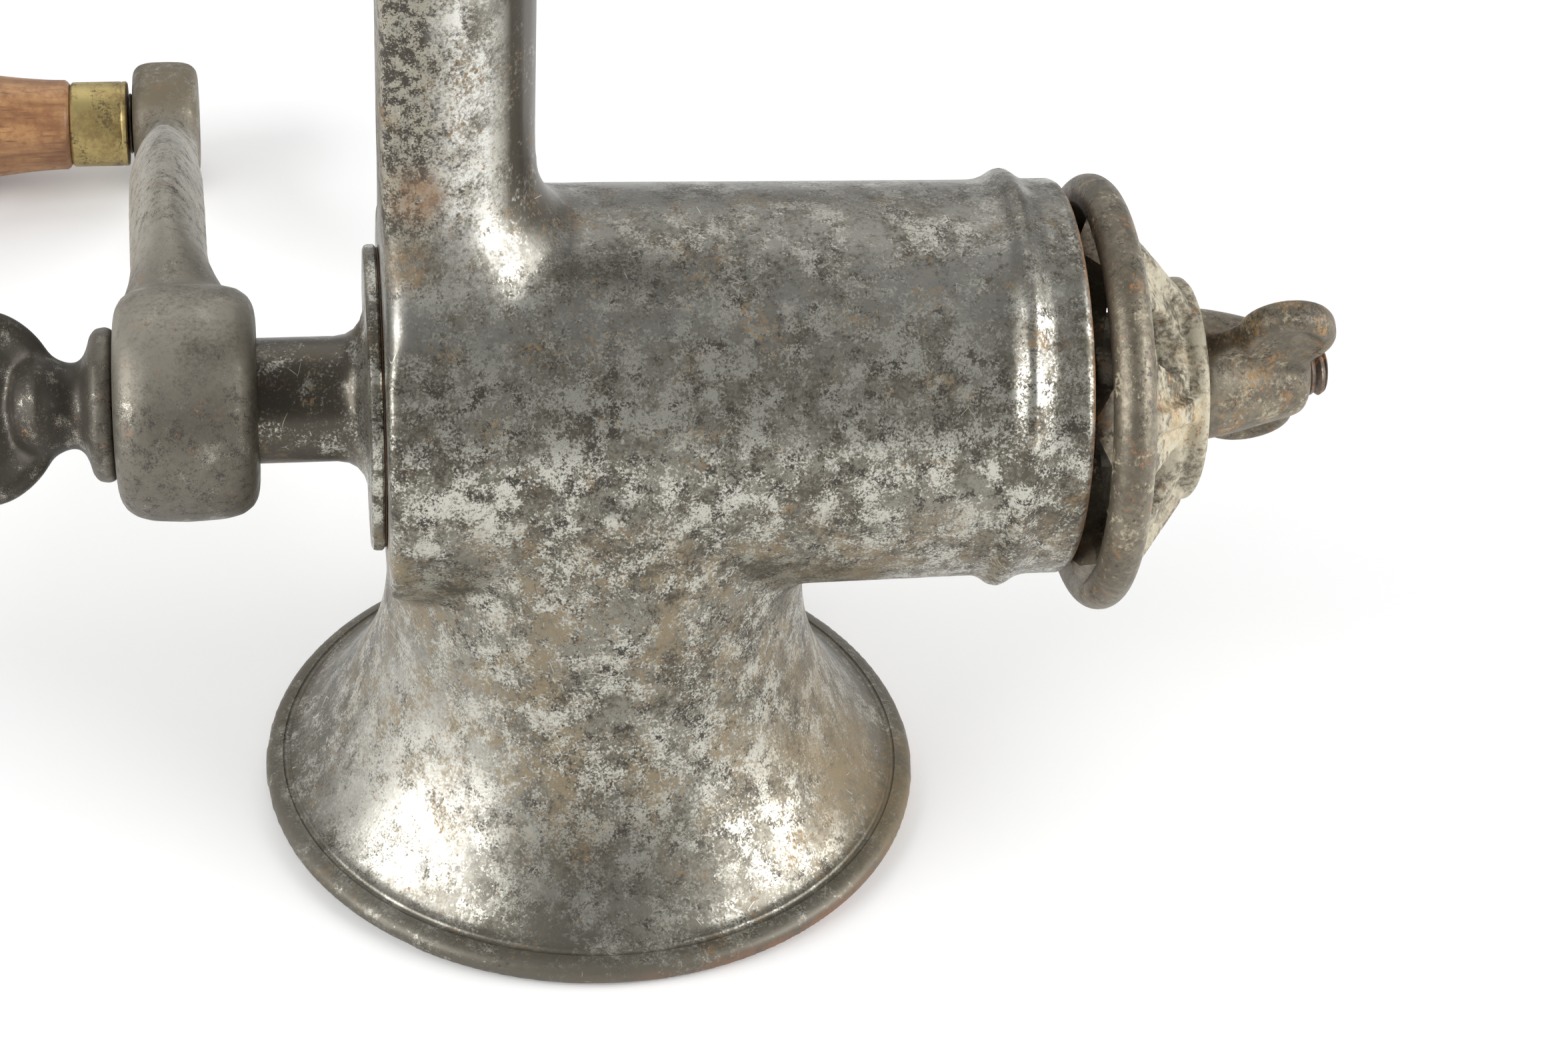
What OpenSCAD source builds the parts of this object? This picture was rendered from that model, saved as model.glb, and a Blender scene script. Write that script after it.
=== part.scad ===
// Hand crank meat grinder, tinned cast iron, with a table clamp.
// It stands on the mouth of its hopper, turned over, so -Z is up in use.
// Origin: centre of the hopper mouth, on the surface that it stands on.
// +X runs along the barrel towards the cutter. +Z points at the clamp.

/* [Hopper] */
// Outer radius of the hopper mouth
mouth_r = 57; // [50:0.5:64]
// Thickness of the rounded band round the mouth
mouth_band = 3.4; // [2.4:0.1:4.4]
// Outer radius of the hopper neck
neck_r = 35.2; // [34:0.1:38]
// Height at which the flare starts, above the mouth
flare_h = 46; // [38:1:50]
// Wall of the flare at the mouth
flare_wall = 3.6; // [2.5:0.1:5]

/* [Barrel] */
// Height of the barrel's axis above the mouth
axis_h = 81.2; // [76:0.2:90]
// Outer radius of the barrel
barrel_r = 32.8; // [30:0.1:34]
// Wall of the barrel
barrel_wall = 4.5; // [3:0.1:5.5]
// Barrel end, from the hopper's centre
barrel_end = 76; // [66:0.5:90]
// Thickness of the wall that closes the crank end
rear_wall = 4.5; // [3:0.1:6]
// Hole in the closed end, through which the feed screw goes in
rear_hole_r = 23; // [20:0.1:24]
// Distance from the barrel end to the middle of the raised bead
bead_back = 10.3; // [6:0.1:14]
// Radius of the bead's round section
bead_r = 1.8; // [1:0.1:2.4]
// Tilt of the bead, which the old pattern has a little out of square
bead_tilt = 2; // [0:0.1:3]
// Number of ribs inside the barrel, at the cutter end
rib_count = 8; // [6:1:10]
// Width of one rib
rib_w = 6; // [4:0.5:8]
// Length of the ribbed part
rib_len = 44; // [30:1:46]

/* [Leg and clamp] */
// Width of the leg along the barrel
leg_w = 24.5; // [20:0.5:28]
// Half thickness of the leg across the barrel
leg_half = 14; // [11:0.5:16]
// Height of the face that bears on the table
table_face_h = 175; // [168:1:190]
// Thickness of the table plate
plate_t = 7; // [5:0.5:10]
// Half width of the table plate
plate_half = 19; // [15:0.5:24]
// Reach of the table plate in front of the hopper's centre
plate_reach = 25; // [20:1:32]
// Largest opening of the clamp
jaw_open = 40; // [32:1:46]
// Opening of the clamp as it stands
jaw_now = 15; // [6:1:30]
// Smallest opening of the clamp
jaw_closed = 2; // [1:0.5:4]
// Distance from the hopper's centre to the clamp screw
clamp_x = 5; // [2:0.5:10]
// Radius of the clamp screw
clamp_screw_r = 4.75; // [4:0.05:6]
// Length of the threaded boss
clamp_boss_l = 18; // [14:1:24]
// Radius of the threaded boss
clamp_boss_r = 11.5; // [9.5:0.5:14]
// Radius of the swivel pad
pad_r = 14; // [10:0.5:17]
// Thickness of the swivel pad
pad_t = 3.2; // [2.6:0.1:5]

/* [Feed screw] */
// How far the feed screw sits below the barrel's axis
drive_drop = 0.6; // [0:0.1:0.8]
// Radius of the flange that covers the hole in the closed end
flange_r = 24.9; // [24.8:0.1:27]
// Thickness of the flange
flange_t = 2.1; // [1.5:0.1:4]
// Radius of the round shaft behind the flange
shaft_r = 10.2; // [10:0.1:11]
// Length of the round shaft, from the flange to the crank
shaft_l = 17.5; // [12:0.5:26]
// Width across the flats of the square end in the crank
shank_w = 13.6; // [11:0.1:14]
// Outer radius of the worm
worm_r = 22.4; // [19:0.1:22.6]
// Radius of the worm's core
worm_core_r = 8.5; // [7:0.5:12]
// Travel of the worm in one turn
worm_pitch = 34; // [26:1:44]
// Share of a turn that one worm thread takes up
worm_share = 0.2; // [0.12:0.01:0.3]
// Width of the square nose that turns the cutter
nose_w = 11; // [9:0.5:12]
// Radius of the threaded stud
stud_r = 4.1; // [3.2:0.1:5]
// Length of stud beyond the wing nut
stud_out = 3.9; // [2:0.1:10]
// Thickness of the washer between flange and body
washer_t = 0.4; // [0.3:0.1:1.5]

/* [Cutter] */
// Gap between the barrel end and the round rim of the cutter
rim_gap = 2.3; // [1.6:0.1:4]
// Outer radius of the cutter
cutter_r = 36.5; // [34:0.1:40]
// Radius of the rim's round section
rim_r = 3.5; // [2.5:0.1:4.5]
// Number of blades and of openings
blade_count = 6; // [4:1:8]
// Radius of the hub's outer disc
hub_disc_r = 18.4; // [16:0.1:20]
// Thickness of the hub's outer disc
hub_disc_t = 3.1; // [2:0.1:5]
// Depth of the cutter, from the rim to the hub's outer face
cutter_depth = 16.8; // [15:0.1:24]
// How far the loose cutter hangs below the shaft's axis
cutter_drop = 2.2; // [0:0.1:2.6]

/* [Cutter wing nut] */
// Radius of the nut's round body at the cutter
nut_r = 11.2; // [9.5:0.1:13]
// Radius of the nut's round body at its outer end
nut_tip_r = 7.5; // [6.8:0.1:9]
// Length of the nut's round body
nut_l = 19.6; // [12:0.1:24]
// Reach of a wing from the axis
nut_wing = 24; // [19:0.5:28]
// Turn of the wings about the barrel's axis
nut_turn = 31; // [-90:1:90]

/* [Crank] */
// Distance from the shaft's axis to the handle's axis
crank_throw = 208.5; // [170:0.5:230]
// Radius of the crank's hub
crank_hub_r = 19.1; // [17:0.1:22]
// Length of the crank's hub
crank_hub_l = 22.7; // [19:0.1:28]
// Thickness of the arm
arm_t = 13; // [9:0.5:16]
// Radius of the boss that carries the handle
arm_boss_r = 12.8; // [10:0.1:14]
// Length of the boss that carries the handle
arm_boss_l = 13.8; // [10:0.1:18]
// Distance from the hub's inner face to the middle of the arm's root
arm_root = 13.4; // [10:0.1:15]
// How far the boss stands out from the arm's root
arm_lean = 6.5; // [0:0.1:10]
// Radius of the thumb screw's collar
collar_r = 12.6; // [10.5:0.1:14]
// Length of the thumb screw's collar
collar_l = 4.2; // [3:0.1:7]
// Half width of the thumb screw's oval head
thumb_half = 15.8; // [12:0.1:20]
// Length of the thumb screw's oval head
thumb_l = 26; // [18:0.5:34]
// Turn of the oval head about the shaft's axis
thumb_turn = -37; // [-90:1:90]

/* [Handle] */
// Largest radius of the wooden grip
grip_r = 14.4; // [12:0.1:17]
// Length of the wooden grip and its ferrule together
grip_l = 92; // [70:1:110]
// Radius of the brass ferrule
ferrule_r = 9; // [8:0.1:10]
// Length of the brass ferrule
ferrule_l = 11.9; // [8:0.1:16]
// Radius of the rivet that the grip turns on
spindle_r = 3.2; // [2.5:0.1:4]
// Radius of the rivet's head
spindle_head_r = 5; // [4.6:0.1:6]

/* [Hidden] */

$fn = 96;
// Radial clearance of a shaft that turns in a hole
run_gap = 0.07;
// Gap between faces that slide past each other
face_gap = 0.3;
// Radial clearance of parts that are fixed together
fix_gap = 0.02;
// How deep joined shapes run into each other
lap = 1;

tin = [0.42, 0.42, 0.38];
iron = [0.37, 0.35, 0.32];
dark_iron = [0.32, 0.29, 0.26];
steel = [0.45, 0.42, 0.38];

// Height of the feed screw's axis
drive_h = axis_h - drive_drop;

// Along the barrel
rear_x = -neck_r - 0.3;
rear_hole_lap = 0.4;
bore_r = barrel_r - barrel_wall;
throat_r = bore_r - 0.6;
rib_top_r = rear_hole_r + rear_hole_lap;
rear_edge = 1.6;
lip_edge = 0.5;
bead_turn = -37;
washer_x = rear_x - washer_t;
flange_x = washer_x - flange_t;
crank_x = flange_x - shaft_l;
crank_end = crank_x - crank_hub_l;
rim_x = barrel_end + rim_gap + rim_r;
hub_face_x = rim_x + cutter_depth;
nose_end_x = hub_face_x - hub_disc_t - 0.9;
nut_end_x = hub_face_x + nut_l;
stud_end_x = nut_end_x + stud_out;
stud_in = 24;
stud_root_x = barrel_end - stud_in;
worm_front_x = barrel_end - 6;

// Openings of the cutter
opening_r0 = 17.5;
opening_l = 10.5;
opening_w = 11;

// Thread and neck of the crank's thumb screw
thumb_thread_r = 4;
thumb_thread_l = 19;
thumb_neck_r = 7;
thumb_neck_l = 5.6;
head_x = crank_end - collar_l - thumb_neck_l;

// Middle of the rounded band round the mouth
band_mid_r = mouth_r - mouth_band / 2;

// Of the leg: its near corners, and the cove at its foot
leg_x = rear_x + leg_w;
leg_corner_r = 11;
leg_start_h = axis_h + barrel_r * 0.5;
foot_h = axis_h + barrel_r * 0.72;
cove_r = 11;
cove_h = axis_h + barrel_r + cove_r;
knee_h = foot_h + (cove_h - foot_h) * 0.45;

// Of the clamp
pad_room = 3.8;
boss_z = table_face_h + jaw_open + pad_t + pad_room;
boss_top = boss_z + clamp_boss_l;
arm_z = boss_z + 2;
arm_top = boss_top - 2;
spine_x = rear_x + leg_w * 0.68;
pad_z = table_face_h + jaw_now;
thumb_z = boss_top + jaw_now - jaw_closed + 2;
thumb_h = 16;
thumb_socket = 13;
thumb_pin_r = 1.5;
thumb_pin_z = 7;
thumb_hub_r = 8;
thumb_reach = 25;
lobe_r = 8;
pad_hole_r = clamp_screw_r * 0.62;

// Half widths of the crank's arm, at the hub and at the handle
arm_root_half = 11.5;
arm_tip_half = 8;

// Of the handle
handle_z = grip_r + 0.1;
crank_tilt = asin((drive_h - handle_z) / crank_throw);
root_mid_x = crank_x - arm_root;
boss_mid_x = root_mid_x - arm_lean;
boss_out_x = boss_mid_x - arm_boss_l / 2;
handle_gap = 1.1;
grip_x = boss_out_x - handle_gap;
grip_end = grip_x - grip_l;
cup_depth = 3.6;
cup_r = 7.2;

// Puts a shape that was made along +Z on the barrel's axis, along +X.
module along_x(x = 0) {
    translate([x, 0, axis_h]) rotate([0, 90, 0]) children();
}

// Same, on the axis of the feed screw, which turns a little low in the barrel.
module along_drive(x = 0) {
    translate([x, 0, drive_h]) rotate([0, 90, 0]) children();
}

// Same, on the axis of the handle.
module along_handle(x = 0) {
    at_crank() translate([x, crank_throw, 0]) rotate([0, 90, 0]) children();
}

// The crank's own frame: hub at the origin, arm along +Y, tipped to the floor.
module at_crank() {
    translate([0, 0, drive_h]) rotate([-crank_tilt, 0, 0]) children();
}

// Turned solid: points are [radius, height].
module turned(points) {
    rotate_extrude() polygon(points);
}

// Round bar with both edges rounded, from z = 0 to z = l.
module soft_bar(r, l, edge) {
    rotate_extrude() {
        translate([0, edge]) square([r, l - 2 * edge]);
        square([r - edge, l]);
        for (z = [edge, l - edge]) translate([r - edge, z]) circle(r = edge, $fn = 48);
    }
}

// Round body that narrows evenly from r0 to r1, with rounded rims.
module soft_cone(r0, r1, l, edge) {
    rotate_extrude() hull() {
        square([r0 - edge, edge]);
        translate([0, l - edge]) square([r1 - edge, edge]);
        translate([r0 - edge, edge]) circle(r = edge, $fn = 48);
        translate([r1 - edge, l - edge]) circle(r = edge, $fn = 48);
    }
}

// Flat outline from x0 to x1, with one corner radius at each end.
module slab(x0, x1, half, r0, r1) {
    translate([x0 + r0, -half]) square([x1 - x0 - r0 - r1, 2 * half]);
    translate([x0, r0 - half]) square([r0 + 0.01, 2 * (half - r0)]);
    translate([x1 - r1 - 0.01, r1 - half]) square([r1 + 0.01, 2 * (half - r1)]);
    for (s = [-1, 1]) {
        translate([x0 + r0, s * (half - r0)]) circle(r = r0);
        translate([x1 - r1, s * (half - r1)]) circle(r = r1);
    }
}

module barrel_outside() {
    length = barrel_end - rear_x;
    along_x(rear_x) rotate_extrude() {
        square([barrel_r - rear_edge, length]);
        translate([0, rear_edge]) square([barrel_r, length - rear_edge - lip_edge]);
        translate([barrel_r - rear_edge, rear_edge]) circle(r = rear_edge);
        polygon([[0, length - lip_edge], [barrel_r, length - lip_edge],
                 [barrel_r - lip_edge, length], [0, length]]);
    }
    along_x(barrel_end - bead_back) rotate([0, 0, bead_turn]) rotate([0, bead_tilt, 0])
        rotate_extrude() translate([barrel_r, 0]) circle(r = bead_r);
}

// Bell from the neck down to the mouth: an arc that leaves the neck upright.
module bell(neck, mouth, low) {
    run = mouth - neck;
    rise = flare_h - low;
    arc = (run * run + rise * rise) / (2 * run);
    rotate_extrude() difference() {
        translate([0, low]) square([mouth, rise]);
        translate([neck + arc, flare_h]) circle(r = arc);
    }
}

module hopper_outside() {
    bell(neck_r, band_mid_r, mouth_band / 2);
    cylinder(r = neck_r, h = axis_h);
    rotate_extrude() {
        square([band_mid_r, mouth_band]);
        translate([band_mid_r, mouth_band / 2]) circle(r = mouth_band / 2);
    }
}

module hopper_inside() {
    inside_r = mouth_r - flare_wall;
    translate([0, 0, -lap]) cylinder(r = inside_r, h = lap + 0.01);
    bell(throat_r, inside_r, 0);
    translate([0, 0, -lap]) cylinder(r = throat_r, h = axis_h + lap);
}

// Room for the worm, and the hole that it goes in by.
module barrel_inside() {
    along_x(rear_x + rear_wall) cylinder(r = bore_r, h = barrel_end - rear_x - rear_wall + lap);
    along_drive(rear_x - lap) cylinder(r = rear_hole_r, h = rear_wall + 2 * lap);
}

// Ribs inside the barrel that keep the meat from turning with the worm.
module barrel_ribs() {
    for (i = [0:rib_count - 1]) along_x(barrel_end - rib_len) rotate((i + 0.5) * 360 / rib_count)
        translate([rib_top_r, -rib_w / 2, 0]) cube([bore_r - rib_top_r + lap, rib_w, rib_len - face_gap]);
}

// Level slice of the leg's foot, wider than the leg by spread.
module foot_slice(h, back, spread, side, corner) {
    translate([0, 0, h]) linear_extrude(lap)
        slab(rear_x + back, leg_x + spread, leg_half + side, corner, leg_corner_r + corner / 8, $fn = 32);
}

module leg() {
    translate([0, 0, leg_start_h]) linear_extrude(table_face_h - leg_start_h)
        slab(rear_x + 0.5, leg_x, leg_half, rear_edge, leg_corner_r);
    // coved foot of the leg
    hull() {
        foot_slice(foot_h, 0.4, cove_r, 7, 4);
        foot_slice(knee_h, 0.2, 3.4, 1.6, 3);
    }
    hull() {
        foot_slice(knee_h - 0.2, 0.2, 3.4, 1.6, 3);
        foot_slice(cove_h, 0.1, -0.1, -0.1, 1.8);
    }
}

module clamp_jaws() {
    // plate that bears on the table
    translate([0, 0, table_face_h - plate_t]) linear_extrude(plate_t)
        slab(rear_x, plate_reach, plate_half, 4, 8);
    // spine of the clamp
    translate([0, 0, table_face_h - lap]) linear_extrude(arm_top - table_face_h + lap)
        slab(rear_x, spine_x, leg_half - 2, 3, 5);
    // arm and threaded boss
    translate([0, 0, arm_z]) linear_extrude(arm_top - arm_z)
        slab(rear_x, clamp_x + 4, leg_half - 3, 3, 3);
    translate([clamp_x, 0, boss_z]) soft_bar(clamp_boss_r, clamp_boss_l, 1.5);
}

module body_casting() {
    color(tin) {
        difference() {
            union() {
                barrel_outside();
                hopper_outside();
                leg();
                clamp_jaws();
            }
            hopper_inside();
            barrel_inside();
            translate([clamp_x, 0, boss_z - lap])
                cylinder(r = clamp_screw_r + run_gap, h = clamp_boss_l + 2 * lap);
        }
        barrel_ribs();
    }
}

// Section of the worm: a round core with one thread standing out of it.
function worm_section(n = 10) =
    let (half = worm_share * 180, flank = 7)
    concat(
        [for (i = [0:n]) let (a = -half + 2 * half * i / n) worm_r * [cos(a), sin(a)]],
        [for (i = [0:n]) let (a = half + flank + (360 - 2 * half - 2 * flank) * i / n)
            worm_core_r * [cos(a), sin(a)]]);

module worm() {
    l = worm_front_x - rear_x - rear_wall + 2 * lap;
    along_drive(rear_x + rear_wall - lap)
        linear_extrude(l, twist = -360 * l / worm_pitch, slices = 60, $fn = 24) polygon(worm_section());
}

module feed_screw() {
    square_start = crank_end + 2.6;
    color(tin) difference() {
        union() {
            // square end for the crank
            along_drive(square_start) translate([-shank_w / 2, -shank_w / 2, 0])
                cube([shank_w, shank_w, crank_x - square_start + lap]);
            // round shaft with its flare, flange and journal
            along_drive(crank_x) cylinder(r = shaft_r, h = shaft_l + lap);
            along_drive(flange_x) turned([[0, -2.4], [shaft_r, -2.4], [shaft_r + 0.7, -1],
                [shaft_r + 2.4, 0], [flange_r - 0.6, 0], [flange_r, 0.6], [flange_r, flange_t],
                [0, flange_t]]);
            along_drive(washer_x - lap) cylinder(r = rear_hole_r - run_gap, h = washer_t + rear_wall + lap);
            worm();
            // round nose and square nose
            along_drive(worm_front_x - lap)
                cylinder(r = worm_core_r + 2.5, h = barrel_end - worm_front_x + lap);
            along_drive(worm_front_x) translate([-nose_w / 2, -nose_w / 2, 0])
                cube([nose_w, nose_w, nose_end_x - worm_front_x]);
        }
        // socket of the stud
        along_drive(stud_root_x) cylinder(r = stud_r + fix_gap, h = nose_end_x - stud_root_x + lap);
        // tapped hole for the thumb screw
        along_drive(crank_end) cylinder(r = thumb_thread_r + fix_gap, h = thumb_thread_l);
    }
}

module nose_stud() {
    l = stud_end_x - stud_root_x;
    tip = 0.8;
    color(steel) along_drive(stud_root_x)
        turned([[0, 0], [stud_r, 0], [stud_r, l - tip], [stud_r - tip, l], [0, l]]);
}

module thrust_washer() {
    color("saddlebrown") along_drive(washer_x) difference() {
        cylinder(r = flange_r - 0.5, h = washer_t - 0.1);
        translate([0, 0, -lap]) cylinder(r = rear_hole_r + 0.1, h = washer_t + 2 * lap);
    }
}

module cutter() {
    hub_in = rim_x - 1;
    hub_r = 13;
    disc_x = hub_face_x - hub_disc_t;
    cone_out = [[cutter_r - rim_r - 3.4, rim_x - 2.2], [cutter_r - rim_r, rim_x + 0.6],
                [hub_r + 2.6, disc_x + 0.4], [hub_r - 1.6, disc_x - 1.2]];
    color(dark_iron) translate([0, 0, -cutter_drop]) difference() {
        union() {
            // round rim
            along_drive() rotate_extrude() translate([cutter_r - rim_r, rim_x]) circle(r = rim_r);
            // conical spider, pierced by the openings
            difference() {
                along_drive() turned(cone_out);
                for (i = [0:blade_count - 1]) cutter_opening((i + 0.5) * 360 / blade_count);
            }
            // hub
            along_drive(hub_in) cylinder(r = hub_r, h = hub_face_x - hub_in - 0.5);
            along_drive(disc_x) soft_bar(hub_disc_r, hub_disc_t, 0.8);
            for (i = [0:blade_count - 1]) cutter_blade(i * 360 / blade_count);
        }
        cutter_socket();
    }
}

// Opening between two arms, that the chopped food leaves by.
module cutter_opening(a) {
    along_drive() rotate(a) translate([opening_r0, -opening_w / 2, rim_x - 6])
        cube([opening_l, opening_w, cutter_depth + 5]);
}

// Blade that sweeps over the barrel end, under one arm.
module cutter_blade(a) {
    edge_x = barrel_end + face_gap;
    root_x = rim_x - 1.5;
    arm_w = 4.4;
    along_drive() rotate(a) {
        translate([0, 0, edge_x]) linear_extrude(root_x - edge_x)
            polygon([[8, -5.5], [cutter_r - 2 * rim_r, -1], [cutter_r - rim_r - 1, 2.4], [8, 3.5]]);
        translate([opening_r0 - 5.5, -arm_w / 2, root_x - 0.5]) cube([opening_l + 6.5, arm_w, 6]);
    }
}

// Square hole that fits loosely on the nose, so the cutter can hang low,
// and the round hole that the stud comes out by.
module cutter_socket() {
    w = nose_w + 2 * (cutter_drop + run_gap);
    along_drive(barrel_end) translate([-w / 2, -w / 2, 0])
        cube([w, w, nose_end_x - barrel_end + face_gap]);
    along_drive(barrel_end)
        cylinder(r = stud_r + cutter_drop + face_gap, h = hub_face_x - barrel_end + lap);
}

module cutter_wing_nut() {
    color(dark_iron) difference() {
        union() {
            along_drive(hub_face_x) soft_cone(nut_r, nut_tip_r, nut_l, 1.2);
            for (s = [0, 180]) along_drive(hub_face_x) rotate([0, 0, 180 + s + nut_turn]) wing(nut_wing);
        }
        along_drive(hub_face_x - lap) cylinder(r = stud_r + run_gap, h = nut_l + 2 * lap);
    }
}

// One rounded wing, standing out along +X in the plane of the axis.
module wing(reach) {
    lobe = 8;
    root_r = 2.6;
    hull() {
        for (z = [4, nut_l - 3]) translate([nut_r - 3, 0, z]) sphere(r = root_r, $fn = 24);
        translate([reach - lobe, 0, nut_l - 5]) rotate([90, 0, 0])
            cylinder(r = lobe, h = 4.4, center = true, $fn = 32);
    }
}

// Points of the arm's middle line, in the crank's own frame.
function bezier(a, b, c, d, t) =
    a * pow(1 - t, 3) + 3 * b * t * pow(1 - t, 2) + 3 * c * t * t * (1 - t) + d * pow(t, 3);
function arm_mid(t) =
    bezier([0, 0], crank_throw * [0.33, 0.226], crank_throw * [0.637, -0.059], [crank_throw, 0], t);
function arm_side(t, side) =
    let (p = arm_mid(t), q = arm_mid(t + 0.001), v = (q - p) / norm(q - p),
         half = arm_root_half + (arm_tip_half - arm_root_half) * t)
    p + side * half * [-v[1], v[0]];

module crank_arm() {
    steps = 28;
    outline = concat([for (i = [0:steps]) arm_side(i / steps, 1)],
                     [for (i = [steps:-1:0]) arm_side(i / steps, -1)]);
    lean = asin(arm_lean / crank_throw);
    hub_edge = 3.8;
    color(iron) difference() {
        union() {
            at_crank() translate([crank_end, 0, 0]) rotate([0, 90, 0])
                soft_bar(crank_hub_r, crank_hub_l, hub_edge);
            at_crank() translate([root_mid_x, 0, 0]) rotate([0, 0, lean]) translate([-arm_t / 2, 0, 0])
                rotate([90, 0, 90]) linear_extrude(arm_t) polygon(outline);
            along_handle(boss_out_x) soft_bar(arm_boss_r, arm_boss_l, 2.4);
        }
        along_drive(crank_end - lap) translate([-shank_w / 2 - fix_gap, -shank_w / 2 - fix_gap, 0])
            cube([shank_w + 2 * fix_gap, shank_w + 2 * fix_gap, crank_hub_l + 2 * lap]);
        along_handle(boss_out_x - lap) cylinder(r = spindle_r + fix_gap, h = arm_boss_l + 2 * lap);
        rivet_sink(fix_gap);
    }
}

module crank_thumb_screw() {
    neck_in = 4;
    color(iron) union() {
        along_drive(crank_end - collar_l) soft_bar(collar_r, collar_l, 1.6);
        along_drive(head_x - neck_in) cylinder(r = thumb_neck_r, h = thumb_neck_l + neck_in + lap);
        along_drive(crank_end - lap) cylinder(r = thumb_thread_r, h = thumb_thread_l - 1);
        // oval head with a raised rim
        translate([head_x, 0, drive_h]) rotate([thumb_turn, 0, 0]) oval_head();
    }
}

// Flat oval in the plane of X and Z, growing away from the screw, with a raised rim.
module oval_head() {
    rim_w = 3.4;
    rim_t = 6;
    web_t = 4;
    long = thumb_l / 2 / thumb_half;
    rotate([90, 0, 0]) translate([-thumb_l / 2 + 1.6, 0, 0]) {
        linear_extrude(web_t, center = true) scale([long, 1]) circle(r = thumb_half - 1);
        difference() {
            linear_extrude(rim_t, center = true) scale([long, 1]) circle(r = thumb_half);
            linear_extrude(rim_t + lap, center = true) scale([long, 1]) circle(r = thumb_half - rim_w);
        }
    }
}

// Countersunk head of the rivet, flush with the inner face of the boss.
module rivet_sink(gap) {
    along_handle(boss_out_x + arm_boss_l - spindle_head_r + spindle_r)
        cylinder(r1 = spindle_r + gap, r2 = spindle_head_r + gap, h = spindle_head_r - spindle_r);
}

module handle_spindle() {
    color(steel) {
        along_handle(grip_end + 0.6) cylinder(r = spindle_r, h = boss_out_x + arm_boss_l - grip_end - 0.6);
        rivet_sink(0);
        along_handle(grip_end + 0.4) soft_bar(spindle_head_r, 1.6, 0.7);
    }
}

module ring(r, hole, h) {
    difference() {
        cylinder(r = r, h = h);
        translate([0, 0, -lap]) cylinder(r = hole, h = h + 2 * lap);
    }
}

module handle_washer() {
    color(steel) along_handle(grip_x + 0.25) ring(6.4, spindle_r + run_gap, handle_gap - 0.5);
}

module handle_end_washer() {
    color(steel) along_handle(grip_end + 2) ring(6.2, spindle_r + run_gap, 1.2);
}

module handle_ferrule() {
    color([0.62, 0.52, 0.27]) along_handle(grip_x - ferrule_l) difference() {
        soft_bar(ferrule_r, ferrule_l, 0.5);
        translate([0, 0, -lap]) cylinder(r = ferrule_r - 0.7, h = ferrule_l + 2 * lap);
    }
}

// Turned grip: a stub under the ferrule, then a swelling to a round end.
module handle_grip() {
    l = grip_l;
    s = ferrule_l;
    color([0.66, 0.44, 0.26]) along_handle(grip_x) rotate([0, 180, 0]) difference() {
        rotate_extrude() {
            square([ferrule_r - 0.7 - fix_gap, s + lap]);
            polygon(concat([[0, s], [ferrule_r + 0.1, s], [ferrule_r + 0.5, s + 1.2]],
                [for (i = [1:24]) grip_point(i / 24)], [[0, l]]));
        }
        translate([0, 0, -lap]) cylinder(r = spindle_r + run_gap, h = l + 2 * lap);
        translate([0, 0, l - cup_depth]) cylinder(r = cup_r, h = cup_depth + lap);
    }
}

// Radius and place along the grip: it swells to grip_r and closes to a round end.
function grip_point(t) =
    let (z = ferrule_l + 1.2 + (grip_l - ferrule_l - 1.2) * t,
         swell = pow(sin(min(t / 0.62, 1) * 90), 1.7),
         fall = t < 0.62 ? 0 : 1 - sqrt(max(0, 1 - pow((t - 0.62) / 0.40, 3))))
    [ferrule_r + 0.5 + (grip_r - ferrule_r - 0.5) * swell - fall * (grip_r - 9.4), z];

module clamp_screw() {
    shoulder_z = pad_z + pad_t + face_gap;
    tip_z = pad_z + 0.8;
    color(steel) difference() {
        translate([clamp_x, 0, 0]) {
            translate([0, 0, shoulder_z])
                cylinder(r = clamp_screw_r, h = thumb_z + thumb_socket - shoulder_z);
            translate([0, 0, tip_z]) cylinder(r = pad_hole_r - run_gap, h = pad_t + lap);
            // turned-over end that keeps the pad on
            translate([0, 0, tip_z]) cylinder(r = pad_hole_r + 1.2, h = 0.8);
        }
        translate([clamp_x, 0, thumb_z]) thumb_pin_hole(fix_gap);
    }
}

module clamp_pad() {
    color(dark_iron) translate([clamp_x, 0, pad_z]) difference() {
        soft_bar(pad_r, pad_t, 1);
        translate([0, 0, -lap]) cylinder(r = pad_hole_r, h = pad_t + 2 * lap);
        // recess of the turned-over end
        translate([0, 0, -lap]) cylinder(r = pad_hole_r + 2, h = lap + 1.9);
    }
}

module clamp_thumb_piece() {
    color(dark_iron) translate([clamp_x, 0, thumb_z]) difference() {
        union() {
            soft_bar(thumb_hub_r, thumb_h, 1.4);
            for (s = [0, 180]) rotate([0, 0, s]) thumb_lobe();
        }
        translate([0, 0, -lap]) cylinder(r = clamp_screw_r + fix_gap, h = thumb_socket + lap);
        thumb_pin_hole(fix_gap);
    }
}

// One lobe of the clamp's thumb piece.
module thumb_lobe() {
    root_r = 3;
    lobe_t = 4.6;
    hull() {
        translate([thumb_hub_r / 2, 0, 2 * root_r]) sphere(r = root_r, $fn = 24);
        translate([thumb_reach - lobe_r, 0, thumb_h - lobe_r / 2]) rotate([90, 0, 0])
            cylinder(r = lobe_r, h = lobe_t, center = true, $fn = 32);
    }
}

// Pin through the thumb piece and the screw, across the lobes.
module thumb_pin_hole(gap) {
    translate([0, 0, thumb_pin_z]) rotate([90, 0, 0])
        cylinder(r = thumb_pin_r + gap, h = 2 * thumb_hub_r + 2, center = true);
}

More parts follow.
